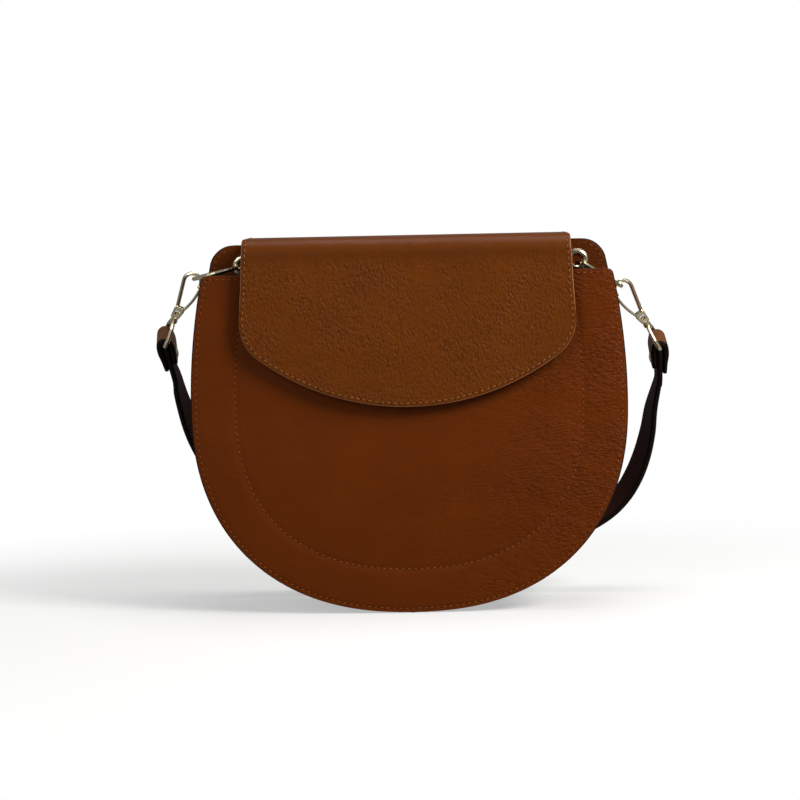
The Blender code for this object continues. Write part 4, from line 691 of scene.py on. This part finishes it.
rowShare, depthShare = np.meshgrid(np.linspace(0, 1, outer.shape[0]), np.linspace(0, 1, outer.shape[1]),
                                   indexing="ij")
ripple = (softNoise(rowShare * gusset["ripples"], depthShare * 3, 41) * gusset["ripple"]
          * np.sin(np.pi * depthShare) ** 2)
outer = outer + inward * ripple[..., None]
gussetBand = thickSheet("gussetLeather", outer, outer + inward * gusset["thick"],
                        [bodyCalf, fleshSide, blackEdge])
keep(gussetBand, "bag", "tan_leather", "gusset")

# lining: two cloth panels and a band, with the slip pocket and the zip pocket
cloth = {"thick": 0.0008, "frontGap": 0.0016, "backGap": 0.0024, "drop": 0.0022,
         "pocketInset": 0.0225, "pocketTop": 0.160, "hem": 0.004, "hemRise": 0.0009, "zipHeight": 0.158,
         "zipLength": 0.150, "slot": 0.009, "wave": 0.0008, "waveSize": 0.03, "spacing": 0.004}
liningFront, liningBack = frontInner + cloth["frontGap"], backInner - cloth["backGap"]
liningInset = gusset["flange"] + gusset["thick"] + bag["gap"]
x, z = halfLine(liningInset, bag["frontHeight"] - cloth["drop"], 0, cloth["spacing"])
liningFrontCloth = panelSheet("liningFrontCloth", x, z, 60, faceAt(liningFront),
                              lambda gx, gz: leaned(liningFront + cloth["thick"], gz)
                              + np.abs(softNoise(gx / cloth["waveSize"], gz / cloth["waveSize"], 51))
                              * cloth["wave"],
                              [twill], "hung")
keep(liningFrontCloth, "bag", "lining_cloth", "lining")


def slotSheet(name, x, z, halfSlot, slotLow, slotHigh, y, thick):
    # a sheet with a slot: four closed sheets that meet at the slot's corners, joined into one piece
    grids = []
    for zs in (np.append(z[z < slotLow], slotLow), np.append(slotHigh, z[z > slotHigh])):
        gx = np.interp(zs, z, x)[:, None] * np.linspace(-1, 1, 41)[None, :]
        grids.append((gx, np.broadcast_to(zs[:, None], gx.shape)))
    for sign in (-1, 1):
        zs = np.linspace(slotLow, slotHigh, 4)
        gx = halfSlot + (np.interp(zs, z, x)[:, None] - halfSlot) * np.linspace(0, 1, 8)[None, :]
        grids.append((sign * gx, np.broadcast_to(zs[:, None], gx.shape)))
    work, area = bmesh.new(), 0.0
    for gx, gz in grids:
        top = np.stack((gx, leaned(y, gz), gz), -1)
        part = thickSheet(name + "Part", top, top + np.array([0, thick, 0]), [twill])
        work.from_mesh(part.data)
        bpy.data.objects.remove(part)
        area += gridArea(top)
    mesh = bpy.data.meshes.new(name)
    work.to_mesh(mesh)
    work.free()
    mesh.materials.append(twill)
    piece = bpy.data.objects.new(name, mesh)
    bpy.context.scene.collection.objects.link(piece)
    return piece


x, z = halfLine(liningInset, facingBottom - bag["gap"], 0, cloth["spacing"])
slotLow, slotHigh = (cloth["zipHeight"] + side * cloth["slot"] / 2 for side in (-1, 1))
liningBackCloth = slotSheet("liningBackCloth", x, z, cloth["zipLength"] / 2, slotLow, slotHigh,
                            liningBack - cloth["thick"], cloth["thick"])
keep(liningBackCloth, "bag", "lining_cloth", "lining")

section = [(liningFront + (liningBack - liningFront) * s, liningInset) for s in np.linspace(0, 1, 15)]
outer = aroundD(section, 110, lambda depth: mouthLine(depth, liningFront, liningBack, cloth["drop"],
                                                      gusset["dip"] + gusset["drop"]))
liningBand = thickSheet("liningBandCloth", outer, outer + inwardOf(outer) * cloth["thick"], [twill])
keep(declareCloth(liningBand), "bag", "lining_cloth", "lining")

x, z = halfLine(cloth["pocketInset"], cloth["pocketTop"], 0, cloth["spacing"])
pocketY = liningFront + cloth["thick"] + bag["gap"]
slipPocket = panelSheet("slipPocketCloth", x, z, 50, faceAt(pocketY),
                        lambda gx, gz: leaned(pocketY + cloth["thick"], gz)
                        + cloth["hemRise"] * bump(gz - cloth["pocketTop"] + cloth["hem"], cloth["hem"]),
                        [twill], "hung")
keep(slipPocket, "bag", "lining_cloth", "slip_pocket")
print("gusset and lining made")

# flap: one leather sheet, sewn to the back, bent over the top and hanging in front
flap = {"thick": 0.0016, "liningThick": 0.0012, "top": 0.2163, "topHalf": 0.0938,
        "sideHalf": 0.0966, "arcRadius": 0.1445, "lowest": 0.1194, "corner": 0.026,
        "backBend": 0.0030, "frontBend": 0.0085, "planeStart": 0.186, "yokeHalf": 0.0898,
        "yokeBottom": 0.176, "yokeCorner": 0.018, "standOff": 0.0055, "stitchInset": 0.0017,
        "liningInset": 0.0006, "hingeZ": 0.2088}
flapFolds = {"wrinkle": 0.00018, "wrinkleShort": 0.004, "wrinkleLong": 0.009, "wrinkleWarp": 0.02,
             "fold": 0.00035, "foldWide": 0.0045, "foldLong": 0.05, "foldZ": 0.203,
             "foldHalf": 0.012, "swell": 0.0010, "swellSize": (0.05, 0.04), "edgeEase": 0.02,
             "belowTip": 0.004, "frontY": 0.03}
yokeY = backOuter + bag["gap"]
slope = math.sqrt(1 + lean ** 2)


def flapPlane(z, off):
    # depth at a height on the plane that lies off the front panel's face by the distance given
    return frontOuter + lean * z - off * slope


def flapProfile(off, start):
    # side view: up the back, a tight bend, level, a wider bend, then down parallel to the front panel;
    # without a start it begins on the level part
    more = flap["standOff"] - off
    backY = float(leaned(yokeY, flap["hingeZ"])) - more
    topZ = flap["top"] - flap["thick"] - more
    backBend, frontBend = flap["backBend"] - more, flap["frontBend"] - more
    if start is None:
        points = [(backY - flap["backBend"], topZ)]
    else:
        points = [(float(leaned(yokeY, s)) - more, s) for s in np.linspace(start, flap["hingeZ"], 14)]
        points += [(backY - backBend + backBend * math.cos(a), topZ - backBend + backBend * math.sin(a))
                   for a in np.linspace(0, math.pi / 2, 10)]
    centreZ = topZ - frontBend
    centreY = flapPlane(centreZ, off) + frontBend / slope
    lastY, lastZ = points[-1]
    points += [(lastY + (centreY - lastY) * s, lastZ + (topZ - lastZ) * s)
               for s in np.linspace(0, 1, 26)[1:-1]]
    points += [(centreY + frontBend * math.cos(a), centreZ + frontBend * math.sin(a))
               for a in np.linspace(math.pi / 2, math.pi - leanAngle, 14)]
    points += [(flapPlane(s, off), s) for s in np.linspace(points[-1][1], flap["planeStart"], 12)[1:]]
    return np.array(points)


def flapEdge(inset, arcSteps, cornerSteps):
    # free edge: a long arc tangent to round corners that run into the straight sides, with each
    # point's share of the run from the middle
    centreZ = flap["lowest"] + flap["arcRadius"]
    radius, side, corner = (flap[key] - inset for key in ("arcRadius", "sideHalf", "corner"))
    cornerX = side - corner
    reach = math.sqrt((radius - corner) ** 2 - cornerX ** 2)
    meeting = math.atan2(cornerX, reach)
    a = np.linspace(0, meeting, arcSteps + 1)
    b = np.linspace(meeting, math.pi / 2, cornerSteps + 1)[1:]
    x = np.append(radius * np.sin(a), cornerX + corner * np.sin(b))
    z = np.append(centreZ - radius * np.cos(a), centreZ - reach - corner * np.cos(b))
    share = runOf(np.stack((x, z), 1))
    share /= share[-1]
    return (np.append(-share[:0:-1], share), np.append(-x[:0:-1], x), np.append(z[:0:-1], z))


def halfAt(y, z):
    # half width at a place of the profile: it grows down the front, narrows to the yoke at the back,
    # and follows the yoke's round corners at its end
    down = np.clip((flap["top"] - z) / (flap["top"] - flap["planeStart"]), 0, 1)
    yoke, corner = flap["yokeHalf"], flap["yokeCorner"]
    low = flap["yokeBottom"] + corner
    if y <= bag["depth"] / 2:
        return flap["topHalf"] + (flap["sideHalf"] - flap["topHalf"]) * down / 2
    if z < low:
        return yoke - corner + math.sqrt(max(corner ** 2 - (low - z) ** 2, 0))
    if z < flap["hingeZ"]:
        return yoke
    return yoke + (flap["topHalf"] - yoke) * (1 - down) ** 2


def flapGrid(off, start, inset, rows, arcSteps, cornerSteps):
    # rows along the profile, each as wide as the flap there, then rows that blend into the free edge
    share, edgeX, edgeZ = flapEdge(inset, arcSteps, cornerSteps)
    profile = flapProfile(off, start)
    half = np.array([halfAt(y, z) for y, z in profile]) - inset
    across = half[:, None] * share[None, :]
    straight = np.stack((across, np.broadcast_to(profile[:, :1], across.shape),
                         np.broadcast_to(profile[:, 1:], across.shape)), -1)
    mix = np.linspace(0, 1, rows + 1)[1:, None]
    x = straight[-1, :, 0] * (1 - mix) + edgeX * mix
    z = straight[-1, :, 2] * (1 - mix) + edgeZ * mix
    return np.concatenate((straight, np.stack((x, flapPlane(z, off), z), -1)))


def flapRelief(grid):
    # soft swell and fine wrinkles on the front face, upright folds where it leaves the bend
    x, z = grid[..., 0], grid[..., 2]
    ease = flapFolds["edgeEase"]
    front = np.clip((flapFolds["frontY"] - grid[..., 1]) / ease, 0, 1)
    warp = softNoise(x / flapFolds["wrinkleWarp"], z / flapFolds["wrinkleWarp"], 61) * 1.2
    lines = softNoise((x * 0.4 - z) / flapFolds["wrinkleShort"] + warp,
                      (x + z * 0.3) / flapFolds["wrinkleLong"] + warp, 62) * flapFolds["wrinkle"]
    folds = (softNoise(x / flapFolds["foldWide"], z / flapFolds["foldLong"], 63) * flapFolds["fold"]
             * bump(z - flapFolds["foldZ"], flapFolds["foldHalf"]))
    wide, high = flapFolds["swellSize"]
    slow = softNoise(x / wide + 7, z / high + 3, 64) * flapFolds["swell"]
    side = (np.clip((flap["sideHalf"] - np.abs(x)) / ease, 0, 1)
            * np.clip((z - flap["lowest"] + flapFolds["belowTip"]) / ease, 0, 1))
    return (lines + folds + slow * side) * front


def flapFaces(inset):
    # the leather's inner face, its outer face moved out by the relief, and the direction outwards
    steps = ((46, 56, 12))
    inner, outer = (flapGrid(off, flap["yokeBottom"] + inset, inset, *steps)
                    for off in (flap["standOff"], flap["standOff"] + flap["thick"]))
    outwards = unit(outer - inner)
    return inner, outer + outwards * flapRelief(outer)[..., None], outwards


inner, outer, outwards = flapFaces(0)
# the first ring of its rim carries the painted highlight
flapLeather = thickSheet("flapLeather", outer, inner, [flapCalf, fleshSide, blackEdge],
                         shoulder=paintedShoulderLight)
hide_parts("flap_leather", "flap_yoke")
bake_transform(flapLeather)

liningOff = flap["standOff"] - bag["gap"]
liningOut, liningIn = (flapGrid(off, None, flap["liningInset"], 20, 30, 8)
                       for off in (liningOff, liningOff - flap["liningThick"]))
flapLining = thickSheet("flapLiningLeather", liningIn, liningOut, [strapHide, fleshSide, blackEdge])
keep(flapLining, "flap", "dark_leather", "flap_lining")
print("flap made")

# stitches
seams = {"pitch": 0.0036, "length": 0.0025, "radius": 0.0003, "holeLength": 0.0013,
         "holeRadius": 0.00042, "holeRise": -0.0003, "frontCorner": 0.001, "pocketTop": 0.168,
         "spacing": 0.0008}


def sewn(name, path, normals, material=None):
    # a row of stitches and, between them, short dark capsules sunk in the needle holes as painted shade
    return [stitchRow(name, path, normals, seams["pitch"], seams["length"], seams["radius"],
                      material=material),
            stitchRow(name + "Holes", path, normals, seams["pitch"], seams["holeLength"],
                      seams["holeRadius"], seams["holeRise"], 0.0, 0.0, paintedHoleShade)]


def panelSeam(name, inset, top, corner, faceY, normalY, closeTop=True, lowZ=None):
    # a seam on a panel's face: round the outline and, if it closes, along the top; with a lowest
    # height it is two rows, right and left, above that height
    x, z = halfLine(inset, top, corner, seams["spacing"])
    if lowZ is None:
        rows = [(np.append(-x[::-1], x), np.append(z[::-1], z))]
    else:
        x, z = x[z > lowZ], z[z > lowZ]
        rows = [(x, z), (-x, z)]
    if closeTop:
        rows.append((np.linspace(-x[-1], x[-1], 260), np.full(260, top)))
    for number, (rowX, rowZ) in enumerate(rows):
        path = np.stack((rowX, faceY(rowX, rowZ), rowZ), 1)
        normals = np.tile([0, normalY, lean], (len(rowX), 1))
        for row in sewn(name + str(number), path, normals):
            keep(row, "bag", "tan_leather")


inset = leather["stitchInset"]
panelSeam("frontSeam", inset, bag["frontHeight"] - inset, seams["frontCorner"], frontFace, -1)
panelSeam("pocketSeam", leather["pocketInset"], seams["pocketTop"], 0, frontFace, -1, False)
panelSeam("backSeam", inset, bag["earHeight"] - inset, bag["earCorner"] - inset, backFace, 1)
panelSeam("facingSeam", inset + bag["gap"], bag["earHeight"] - inset - bag["gap"],
          bag["earCorner"] - inset, faceAt(facingFront), -1, False, facingBottom)
seamFace, seamOut = flapFaces(flap["stitchInset"])[1:]
ring, ringOut = (np.concatenate((grid[0, ::-1], grid[1:, 0], grid[-1, 1:], grid[-2:0:-1, -1]))
                 for grid in (seamFace, seamOut))
for row in sewn("flapSeam", ring, ringOut, flapThread):
    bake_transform(row)
print("seams sewn")

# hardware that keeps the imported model's shape
metalNodes = ["magnet_socket", "magnet_stud", "magnet_socket_plate", "magnet_stud_plate", "prong",
              "buckle_frame", "zip_slider", "zip_puller"]
for part in ("eyelet_", "eyelet_washer_", "ring_", "hook_", "gate_", "loop_", "tab_rivet_"):
    metalNodes += [part + side for side in ("left", "right")]
for node in metalNodes:
    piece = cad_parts[node]
    piece.data.materials.clear()
    piece.data.materials.append(plated)

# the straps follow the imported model's two routes: places and the twist of their width
strap = {"width": 0.025, "thick": 0.0032, "splitThick": 0.0020, "centreY": 0.0814, "pitch": 0.0037,
         "foldHalf": 0.052, "layers": 7, "riseStart": -0.030, "riseEnd": -0.004, "tail": 0.034,
         "tailOut": 0.0029, "foldRadius": 0.0025, "heelOut": -0.0025, "shortReturn": 0.014,
         "taperStart": 0.036, "taperEnd": 0.043, "hole": 0.0014, "holes": 5, "wornHole": 2,
         "holePitch": 0.012, "firstHole": -0.030, "holeReach": 0.003, "step": 0.0025,
         "slotHalf": 0.00175, "slotLow": -0.008, "slotHigh": 0.0033, "slotBack": -0.0088,
         "slotFront": 0.0038}
rightRoute = [(0.14821, 0.06536, 0.14725, 0.00979), (0.14823, 0.06701, 0.14076, 0.00979),
              (0.14826, 0.06968, 0.13029, 0.00979), (0.14827, 0.07057, 0.12680, 0.00979),
              (0.14409, 0.07382, 0.10965, 0.13352), (0.14209, 0.07598, 0.09594, 0.20769),
              (0.13883, 0.07815, 0.08224, 0.26704), (0.13407, 0.07978, 0.06970, 0.29671),
              (0.12781, 0.08075, 0.05874, 0.29671), (0.11966, 0.08129, 0.04934, 0.26704),
              (0.11026, 0.08140, 0.04210, 0.20769), (0.09899, 0.08140, 0.03564, 0.13352),
              (0.08646, 0.08140, 0.03035, 0.05934), (0.07330, 0.08140, 0.02663, 0.01484)]
leftLow = [(-0.05764, 0.08140, 0.00323, 0)]
leftRoute = [(-0.12342, 0.07991, 0.08302, 0.23736), (-0.12881, 0.07862, 0.09438, 0.29671),
             (-0.13332, 0.07723, 0.10612, 0.26704), (-0.13708, 0.07544, 0.11787, 0.16319),
             (-0.13983, 0.07405, 0.12923, 0.07418), (-0.14092, 0.07146, 0.13512, -0.00893),
             (-0.14170, 0.07044, 0.13848, -0.00893), (-0.14406, 0.06735, 0.14856, -0.00893),
             (-0.14552, 0.06544, 0.15481, -0.00893)]


def turnedFrame(place, degrees):
    # a 3 by 4 frame: turned about x, then y, then z, and moved to its place
    return np.column_stack((np.array(Euler(np.radians(degrees)).to_matrix()), place))


def placed(frame34, points):
    # points turned and moved by a 3 by 4 frame
    return np.asarray(points, float) @ frame34[:, :3].T + frame34[:, 3]


buckleFrame = turnedFrame((-0.083599, 0.0814, 0.031821), (0, -43.295, 0))


def atBuckle(out, up, across=0.0):
    # a place in the buckle's frame: out from its face, across it, up along the strap
    out, up, across = np.broadcast_arrays(np.asarray(out, float), up, across)
    return placed(buckleFrame, np.stack((out, across, up), -1))


def longOut(up):
    # the tail climbs from the strap's line to the frame's face on a smooth step
    share = np.clip((up - strap["riseStart"]) / (strap["riseEnd"] - strap["riseStart"]), 0, 1)
    return strap["tailOut"] * share * share * (3 - 2 * share)


def foldLine():
    # layers of strap laid to and fro behind the bag, joined by half turns
    line, radius = [], strap["pitch"] / 2
    for layer in range(strap["layers"] - 1, -1, -1):
        height = strap["thick"] / 2 + bag["gap"] + strap["pitch"] * layer
        sign = 1 if layer % 2 == 0 else -1
        line += [(sign * strap["foldHalf"] * s, strap["centreY"], height, 0)
                 for s in (1, 0.5, 0, -0.5, -1)]
        if layer:
            line += [(-sign * (strap["foldHalf"] + radius * math.sin(a)), strap["centreY"],
                      height - radius * (1 - math.cos(a)), 0) for a in np.linspace(0, math.pi, 8)[1:-1]]
    return line


def untwisted(points):
    # route points with no twist added
    return np.column_stack((points, np.zeros(len(points))))


def prismCutter(name, outline, low, high):
    # a closed prism in the buckle's frame: an outline of (across, up) between two distances out
    outline = np.asarray(outline, float)
    points = np.concatenate([atBuckle(out, outline[:, 1], outline[:, 0]) for out in (low, high)])
    ring = np.arange(len(outline))
    following, far = np.roll(ring, -1), ring + len(outline)
    sides = np.stack((ring, following, following + len(outline), far), 1).tolist()
    faces = sides + [ring[::-1].tolist(), far.tolist()]
    return finishMesh(name, points, faces, [blackEdge], smooth=False)


# long part: down the right side, to and fro behind the bag, up to the buckle and its round tail
lowPoint = untwisted(atBuckle(0.0, strap["riseStart"])[None, :])
route = smoothPath(np.vstack((rightRoute, foldLine(), leftLow, lowPoint)), strap["step"])
tailRadius = strap["width"] / 2
roundStart = strap["tail"] - tailRadius
ups = np.append(np.linspace(strap["riseStart"], roundStart, 26)[1:],
                roundStart + tailRadius * np.sin(np.linspace(0, math.pi / 2, 12)[1:]))
route = np.vstack((route, untwisted(atBuckle(longOut(ups), ups))))
tipShare = np.clip((ups - roundStart) / tailRadius, 0, 0.985)
widths = np.append(np.full(len(route) - len(ups), strap["width"]),
                   strap["width"] * np.sqrt(1 - tipShare ** 2))
strapLong = band("strapLongLeather", route[:, :3], acrossOf(route[:, :3], route[:, 3]), widths,
                 strap["thick"], [strapHide, strapHide, blackEdge])
circle = np.linspace(0, 2 * math.pi, 25)[:-1]
cutters = []
for number in range(strap["holes"]):
    stretch = 2.0 if number == strap["wornHole"] else 1.0
    centre = strap["firstHole"] + strap["holePitch"] * number
    outline = np.stack((strap["hole"] * np.cos(circle),
                        centre + strap["hole"] * stretch * np.sin(circle)), 1)
    middleOut = float(longOut(centre))
    cutters.append(prismCutter("tailHole" + str(number), outline, middleOut - strap["holeReach"],
                               middleOut + strap["holeReach"]))
punch(strapLong, cutters)
keep(strapLong, "strap", "dark_leather", "strap_long")

# short part: split thin and folded round the buckle's bar, then up the left side
turn = np.linspace(0, math.pi, 15)
foldOut = np.append([-2 * strap["foldRadius"]] * 2, strap["heelOut"] - strap["foldRadius"] * np.cos(turn))
foldUp = np.append([strap["shortReturn"], strap["shortReturn"] / 2], -strap["foldRadius"] * np.sin(turn))
rise = np.linspace(0, strap["taperStart"], 16)[1:]
fold = atBuckle(np.append(foldOut, 0 * rise), np.append(foldUp, rise))
upperStart = untwisted(atBuckle(0.0, strap["taperEnd"])[None, :])
upper = smoothPath(np.vstack((upperStart, leftRoute)), strap["step"])
route = np.vstack((untwisted(fold), upper))
thickness = np.append(np.full(len(fold), strap["splitThick"]), np.full(len(upper), strap["thick"]))
strapShort = band("strapShortLeather", route[:, :3], acrossOf(route[:, :3], route[:, 3]),
                  strap["width"], thickness, [strapHide, strapHide, blackEdge])
slot = [(-strap["slotHalf"], strap["slotLow"]), (strap["slotHalf"], strap["slotLow"]),
        (strap["slotHalf"], strap["slotHigh"]), (-strap["slotHalf"], strap["slotHigh"])]
punch(strapShort, [prismCutter("prongSlot", slot, strap["slotBack"], strap["slotFront"])])
keep(strapShort, "strap", "dark_leather", "strap_short")

# tabs: the legs are skived, thicker by puff * exp(-((z - padZ) / padLong)^2), all of it outside
tab = {"radius": 0.0031, "thick": 0.0024, "outer": 0.016, "inner": 0.013, "padZ": -0.0035,
       "padLong": 0.0055, "puff": 0.0011, "tipDraw": 0.003, "tipRows": 5}
tabFrames = {"right": turnedFrame((0.148206, 0.064841, 0.149285), (14.286, -0.301, 0.544)),
             "left": turnedFrame((-0.145973, 0.064841, 0.156769), (16.470, -13.279, 0.504))}
for label, side in (("right", 1), ("left", -1)):
    line = [(side * tab["radius"], 0, z) for z in np.linspace(-tab["outer"], 0, 18)[:-1]]
    line += [(side * tab["radius"] * math.cos(a), 0, tab["radius"] * math.sin(a))
             for a in np.linspace(0, math.pi, 17)]
    line += [(-side * tab["radius"], 0, z) for z in np.linspace(0, -tab["inner"], 15)[1:]]
    pad = tab["puff"] * bump(np.array(line)[:, 2] - tab["padZ"], tab["padLong"])
    across = np.tile(-side * tabFrames[label][:, 1], (len(line), 1))
    count = np.arange(len(line))
    tip = np.clip(np.minimum(count, count[::-1]) / tab["tipRows"], 0, 1)
    piece = band("strapTab" + label.title() + "Leather", placed(tabFrames[label], line), across,
                 strap["width"] - tab["tipDraw"] * (1 - tip) ** 2, tab["thick"] + pad,
                 [tabCalf, fleshSide, blackEdge], 21, pad[:, None] / 2)
    keep(piece, "strap", "dark_leather", "strap_tab_" + label)

keeper = {"thick": 0.0012, "width": 0.007, "corner": 0.0016, "edge": 0.0004, "outHigh": 0.0045,
          "fixedUp": 0.0085, "fixedLow": -0.006, "looseUp": 0.022, "looseLow": -0.001}


def keeperLoop(name, up, outLow, body, node):
    # a closed leather band: a thin rectangle with cut corners carried round a larger rounded one in
    # the buckle's frame
    low, high = outLow - bag["gap"], keeper["outHigh"] + bag["gap"]
    corner, half, edge, rim = keeper["corner"], keeper["thick"] / 2, keeper["edge"], keeper["width"] / 2
    halfAcross = strap["width"] / 2 + bag["gap"] + half
    halfOut, centre = (high - low) / 2 + half, (high + low) / 2
    signs = np.repeat([(1, 1), (-1, 1), (-1, -1), (1, -1)], 6, axis=0)
    angle = np.linspace(0, math.pi / 2, 6)[None, :] + np.arange(4)[:, None] * math.pi / 2
    normals = np.stack((np.cos(angle), np.sin(angle)), -1).reshape(-1, 2)
    points = signs * (halfAcross - corner, halfOut - corner) + corner * normals
    profile = np.array([(half - edge, rim), (0, rim), (edge - half, rim), (-half, rim - edge),
                        (-half, 0), (-half, edge - rim)])
    profile = np.concatenate((profile, -profile))
    around = points[:, None, :] + normals[:, None, :] * profile[None, :, :1]
    grid = atBuckle(centre + around[..., 1], up + profile[None, :, 1], around[..., 0])
    index = np.arange(grid.size // 3).reshape(grid.shape[:2])
    ahead = np.roll(index, -1, 0)
    faces = np.stack((index, ahead, np.roll(ahead, -1, 1), np.roll(index, -1, 1)), -1)
    painted = np.tile([1, 1, 1, 0, 0, 1], 2 * len(index))
    piece = finishMesh(name, grid, faces.reshape(-1, 4).tolist(), [strapHide, blackEdge], painted)
    piece.data.set_sharp_from_angle(angle=creaseAngle)
    keep(piece, body, "dark_leather", node)


keeperLoop("keeperFixedLeather", keeper["fixedUp"], keeper["fixedLow"], "strap", "keeper_fixed")
keeperLoop("keeperLooseLeather", keeper["looseUp"], keeper["looseLow"], "loose_keeper", "keeper_loose")
print("straps made")

# zip: two woven tapes, a coil of teeth between them, and a cloth pouch behind the lining's slot
zipper = {"half": 0.083, "low": 0.145, "high": 0.171, "opening": 0.0012, "tapeY": 0.0592,
          "tapeThick": 0.0006, "toothPitch": 0.0015, "toothLength": 0.0046, "toothRadius": 0.0006,
          "toothSlant": 84.0, "pouchLow": 0.071, "pouchY": 0.0612, "pouchThick": 0.0005,
          "pouchBack": 0.0621, "mouthLow": 0.1535, "mouthHigh": 0.1625}
coil = edgePaint("zipCoilNylon", finishes["coil"])
for key, low, high in (("Low", zipper["low"], cloth["zipHeight"] - zipper["opening"]),
                       ("High", cloth["zipHeight"] + zipper["opening"], zipper["high"])):
    tape = panelSheet("zipTape" + key + "Cloth", np.full(6, zipper["half"]), np.linspace(low, high, 6),
                      60, faceAt(zipper["tapeY"]), faceAt(zipper["tapeY"] + zipper["tapeThick"]),
                      [twill], "hung")
    keep(tape, "bag", "lining_cloth", "zip_tape")
line = np.linspace(-cloth["zipLength"] / 2, cloth["zipLength"] / 2, 300)
coilY = leaned(zipper["tapeY"] + zipper["tapeThick"] / 2, cloth["zipHeight"])
coilLine = np.stack((line, np.full(300, coilY), np.full(300, cloth["zipHeight"])), 1)
teeth = stitchRow("zipTeeth", coilLine, np.tile([0, -1.0, 0], (300, 1)), zipper["toothPitch"],
                  zipper["toothLength"], zipper["toothRadius"], 0.0, zipper["toothSlant"], 0.5, coil)
keep(teeth, "bag", "lining_cloth", "zip_tape")
xs, zs = np.full(26, zipper["half"]), np.linspace(zipper["pouchLow"], zipper["high"], 26)
pouchFront = slotSheet("zipPouchFrontCloth", xs, zs, cloth["zipLength"] / 2, zipper["mouthLow"],
                       zipper["mouthHigh"], zipper["pouchY"], zipper["pouchThick"])
keep(pouchFront, "bag", "lining_cloth", "zip_pocket_bag")
pouchBack = panelSheet("zipPouchBackCloth", xs, zs, 40, faceAt(zipper["pouchBack"]),
                       faceAt(zipper["pouchBack"] + zipper["pouchThick"]), [twill], "hung")
keep(pouchBack, "bag", "lining_cloth", "zip_pocket_bag")
print("zip made")

# floor, backdrop, lights and camera
studio = {"floor": "#F4F3F1", "floorZ": -0.0004, "floorHalf": 4, "bounce": "#8C8A86",
          "world": 0.2, "distance": 1.6, "sensor": 36, "focal": 125.4, "elevation": 4.5,
          "target": (-0.0025, 0.0, 0.1228), "roll": 1.2, "yaw": 1.0, "aim": (0, 0, 0.1)}
softboxes = {"keySoftbox": ((0.85, -0.62, 0.92), (0.5, 0.5), 16),
             "fillSoftbox": ((-0.9, -1.4, 0.9), (0.8, 0.8), 6),
             "topSoftbox": ((0.1, 0.1, 1.3), (0.9, 0.6), 6.5)}
half = studio["floorHalf"]
mesh = bpy.data.meshes.new("floor")
mesh.from_pydata([(-half, -half, 0), (half, -half, 0), (half, half, 0), (-half, half, 0)], [],
                 [(0, 1, 2, 3)])
floor = bpy.data.objects.new("floor", mesh)
bpy.context.scene.collection.objects.link(floor)
floor.location.z = studio["floorZ"]


def seamlessPaper(name, code, bounce):
    # matt paper: near the bag the camera sees it half lit, further off plain white; other rays meet a
    # dim grey, which throws little light back
    paper, tree, shader = newMaterial(name, 0.95, Base_Color=hexToLinear(code), Specular_IOR_Level=0.0)
    place = addNode(tree, "ShaderNodeTexCoord").outputs["Object"]
    away = addNode(tree, "ShaderNodeVectorMath", {0: place}, operation="LENGTH").outputs["Value"]
    far = addNode(tree, "ShaderNodeMapRange", {"Value": away}, interpolation_type="SMOOTHSTEP",
                  sockets={"From Min": 0.22, "From Max": 0.5, "To Min": 0.45})
    seen = addNode(tree, "ShaderNodeLightPath").outputs["Is Camera Ray"]
    white = addNode(tree, "ShaderNodeEmission", sockets={"Color": (1, 1, 1, 1), "Strength": 1.0})
    dim = addNode(tree, "ShaderNodeBsdfDiffuse", sockets={"Color": hexToLinear(bounce)})
    lit = addNode(tree, "ShaderNodeMixShader",
                  {0: far.outputs[0], 1: shader.outputs[0], 2: white.outputs[0]})
    joined = addNode(tree, "ShaderNodeMixShader", {0: seen, 1: dim.outputs[0], 2: lit.outputs[0]})
    tree.links.new(joined.outputs[0], tree.nodes["Material Output"].inputs["Surface"])
    return paper


floor.data.materials.append(seamlessPaper("seamlessPaper", studio["floor"], studio["bounce"]))
floor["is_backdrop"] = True

world = bpy.data.worlds.new("studio")
bpy.context.scene.world = world
world.use_nodes = True
tree = world.node_tree
background = tree.nodes["Background"]
background.inputs["Color"].default_value = (1, 1, 1, 1)
background.inputs["Strength"].default_value = studio["world"]
white = addNode(tree, "ShaderNodeBackground", sockets={"Color": (1, 1, 1, 1), "Strength": 1.0})
rays = addNode(tree, "ShaderNodeLightPath")
mix = addNode(tree, "ShaderNodeMixShader", {0: rays.outputs["Is Camera Ray"],
                                            1: background.outputs[0], 2: white.outputs[0]})
tree.links.new(mix.outputs[0], tree.nodes["World Output"].inputs["Surface"])

for name, (place, size, power) in softboxes.items():
    light = bpy.data.lights.new(name, "AREA")
    light.shape = "RECTANGLE"
    light.size, light.size_y = size
    light.energy = power
    lamp = bpy.data.objects.new(name, light)
    bpy.context.scene.collection.objects.link(lamp)
    lamp.location = place
    towards = Vector(studio["aim"]) - Vector(place)
    lamp.rotation_euler = towards.to_track_quat("-Z", "Y").to_euler()

cameraData = bpy.data.cameras.new("camera")
camera = bpy.data.objects.new("camera", cameraData)
bpy.context.scene.collection.objects.link(camera)
cameraData.sensor_width = studio["sensor"]
cameraData.lens = studio["focal"]
tilt = math.radians(studio["elevation"])
turn = math.radians(studio["yaw"])
ahead = studio["distance"] * math.cos(tilt)
camera.location = (studio["target"][0] + ahead * math.sin(turn),
                   studio["target"][1] - ahead * math.cos(turn),
                   studio["target"][2] + studio["distance"] * math.sin(tilt))
camera.rotation_euler = (math.pi / 2 - tilt, math.radians(studio["roll"]), turn)
bpy.context.scene.camera = camera
bpy.context.scene.view_settings.view_transform = "Standard"

low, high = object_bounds()
print("scene ready")
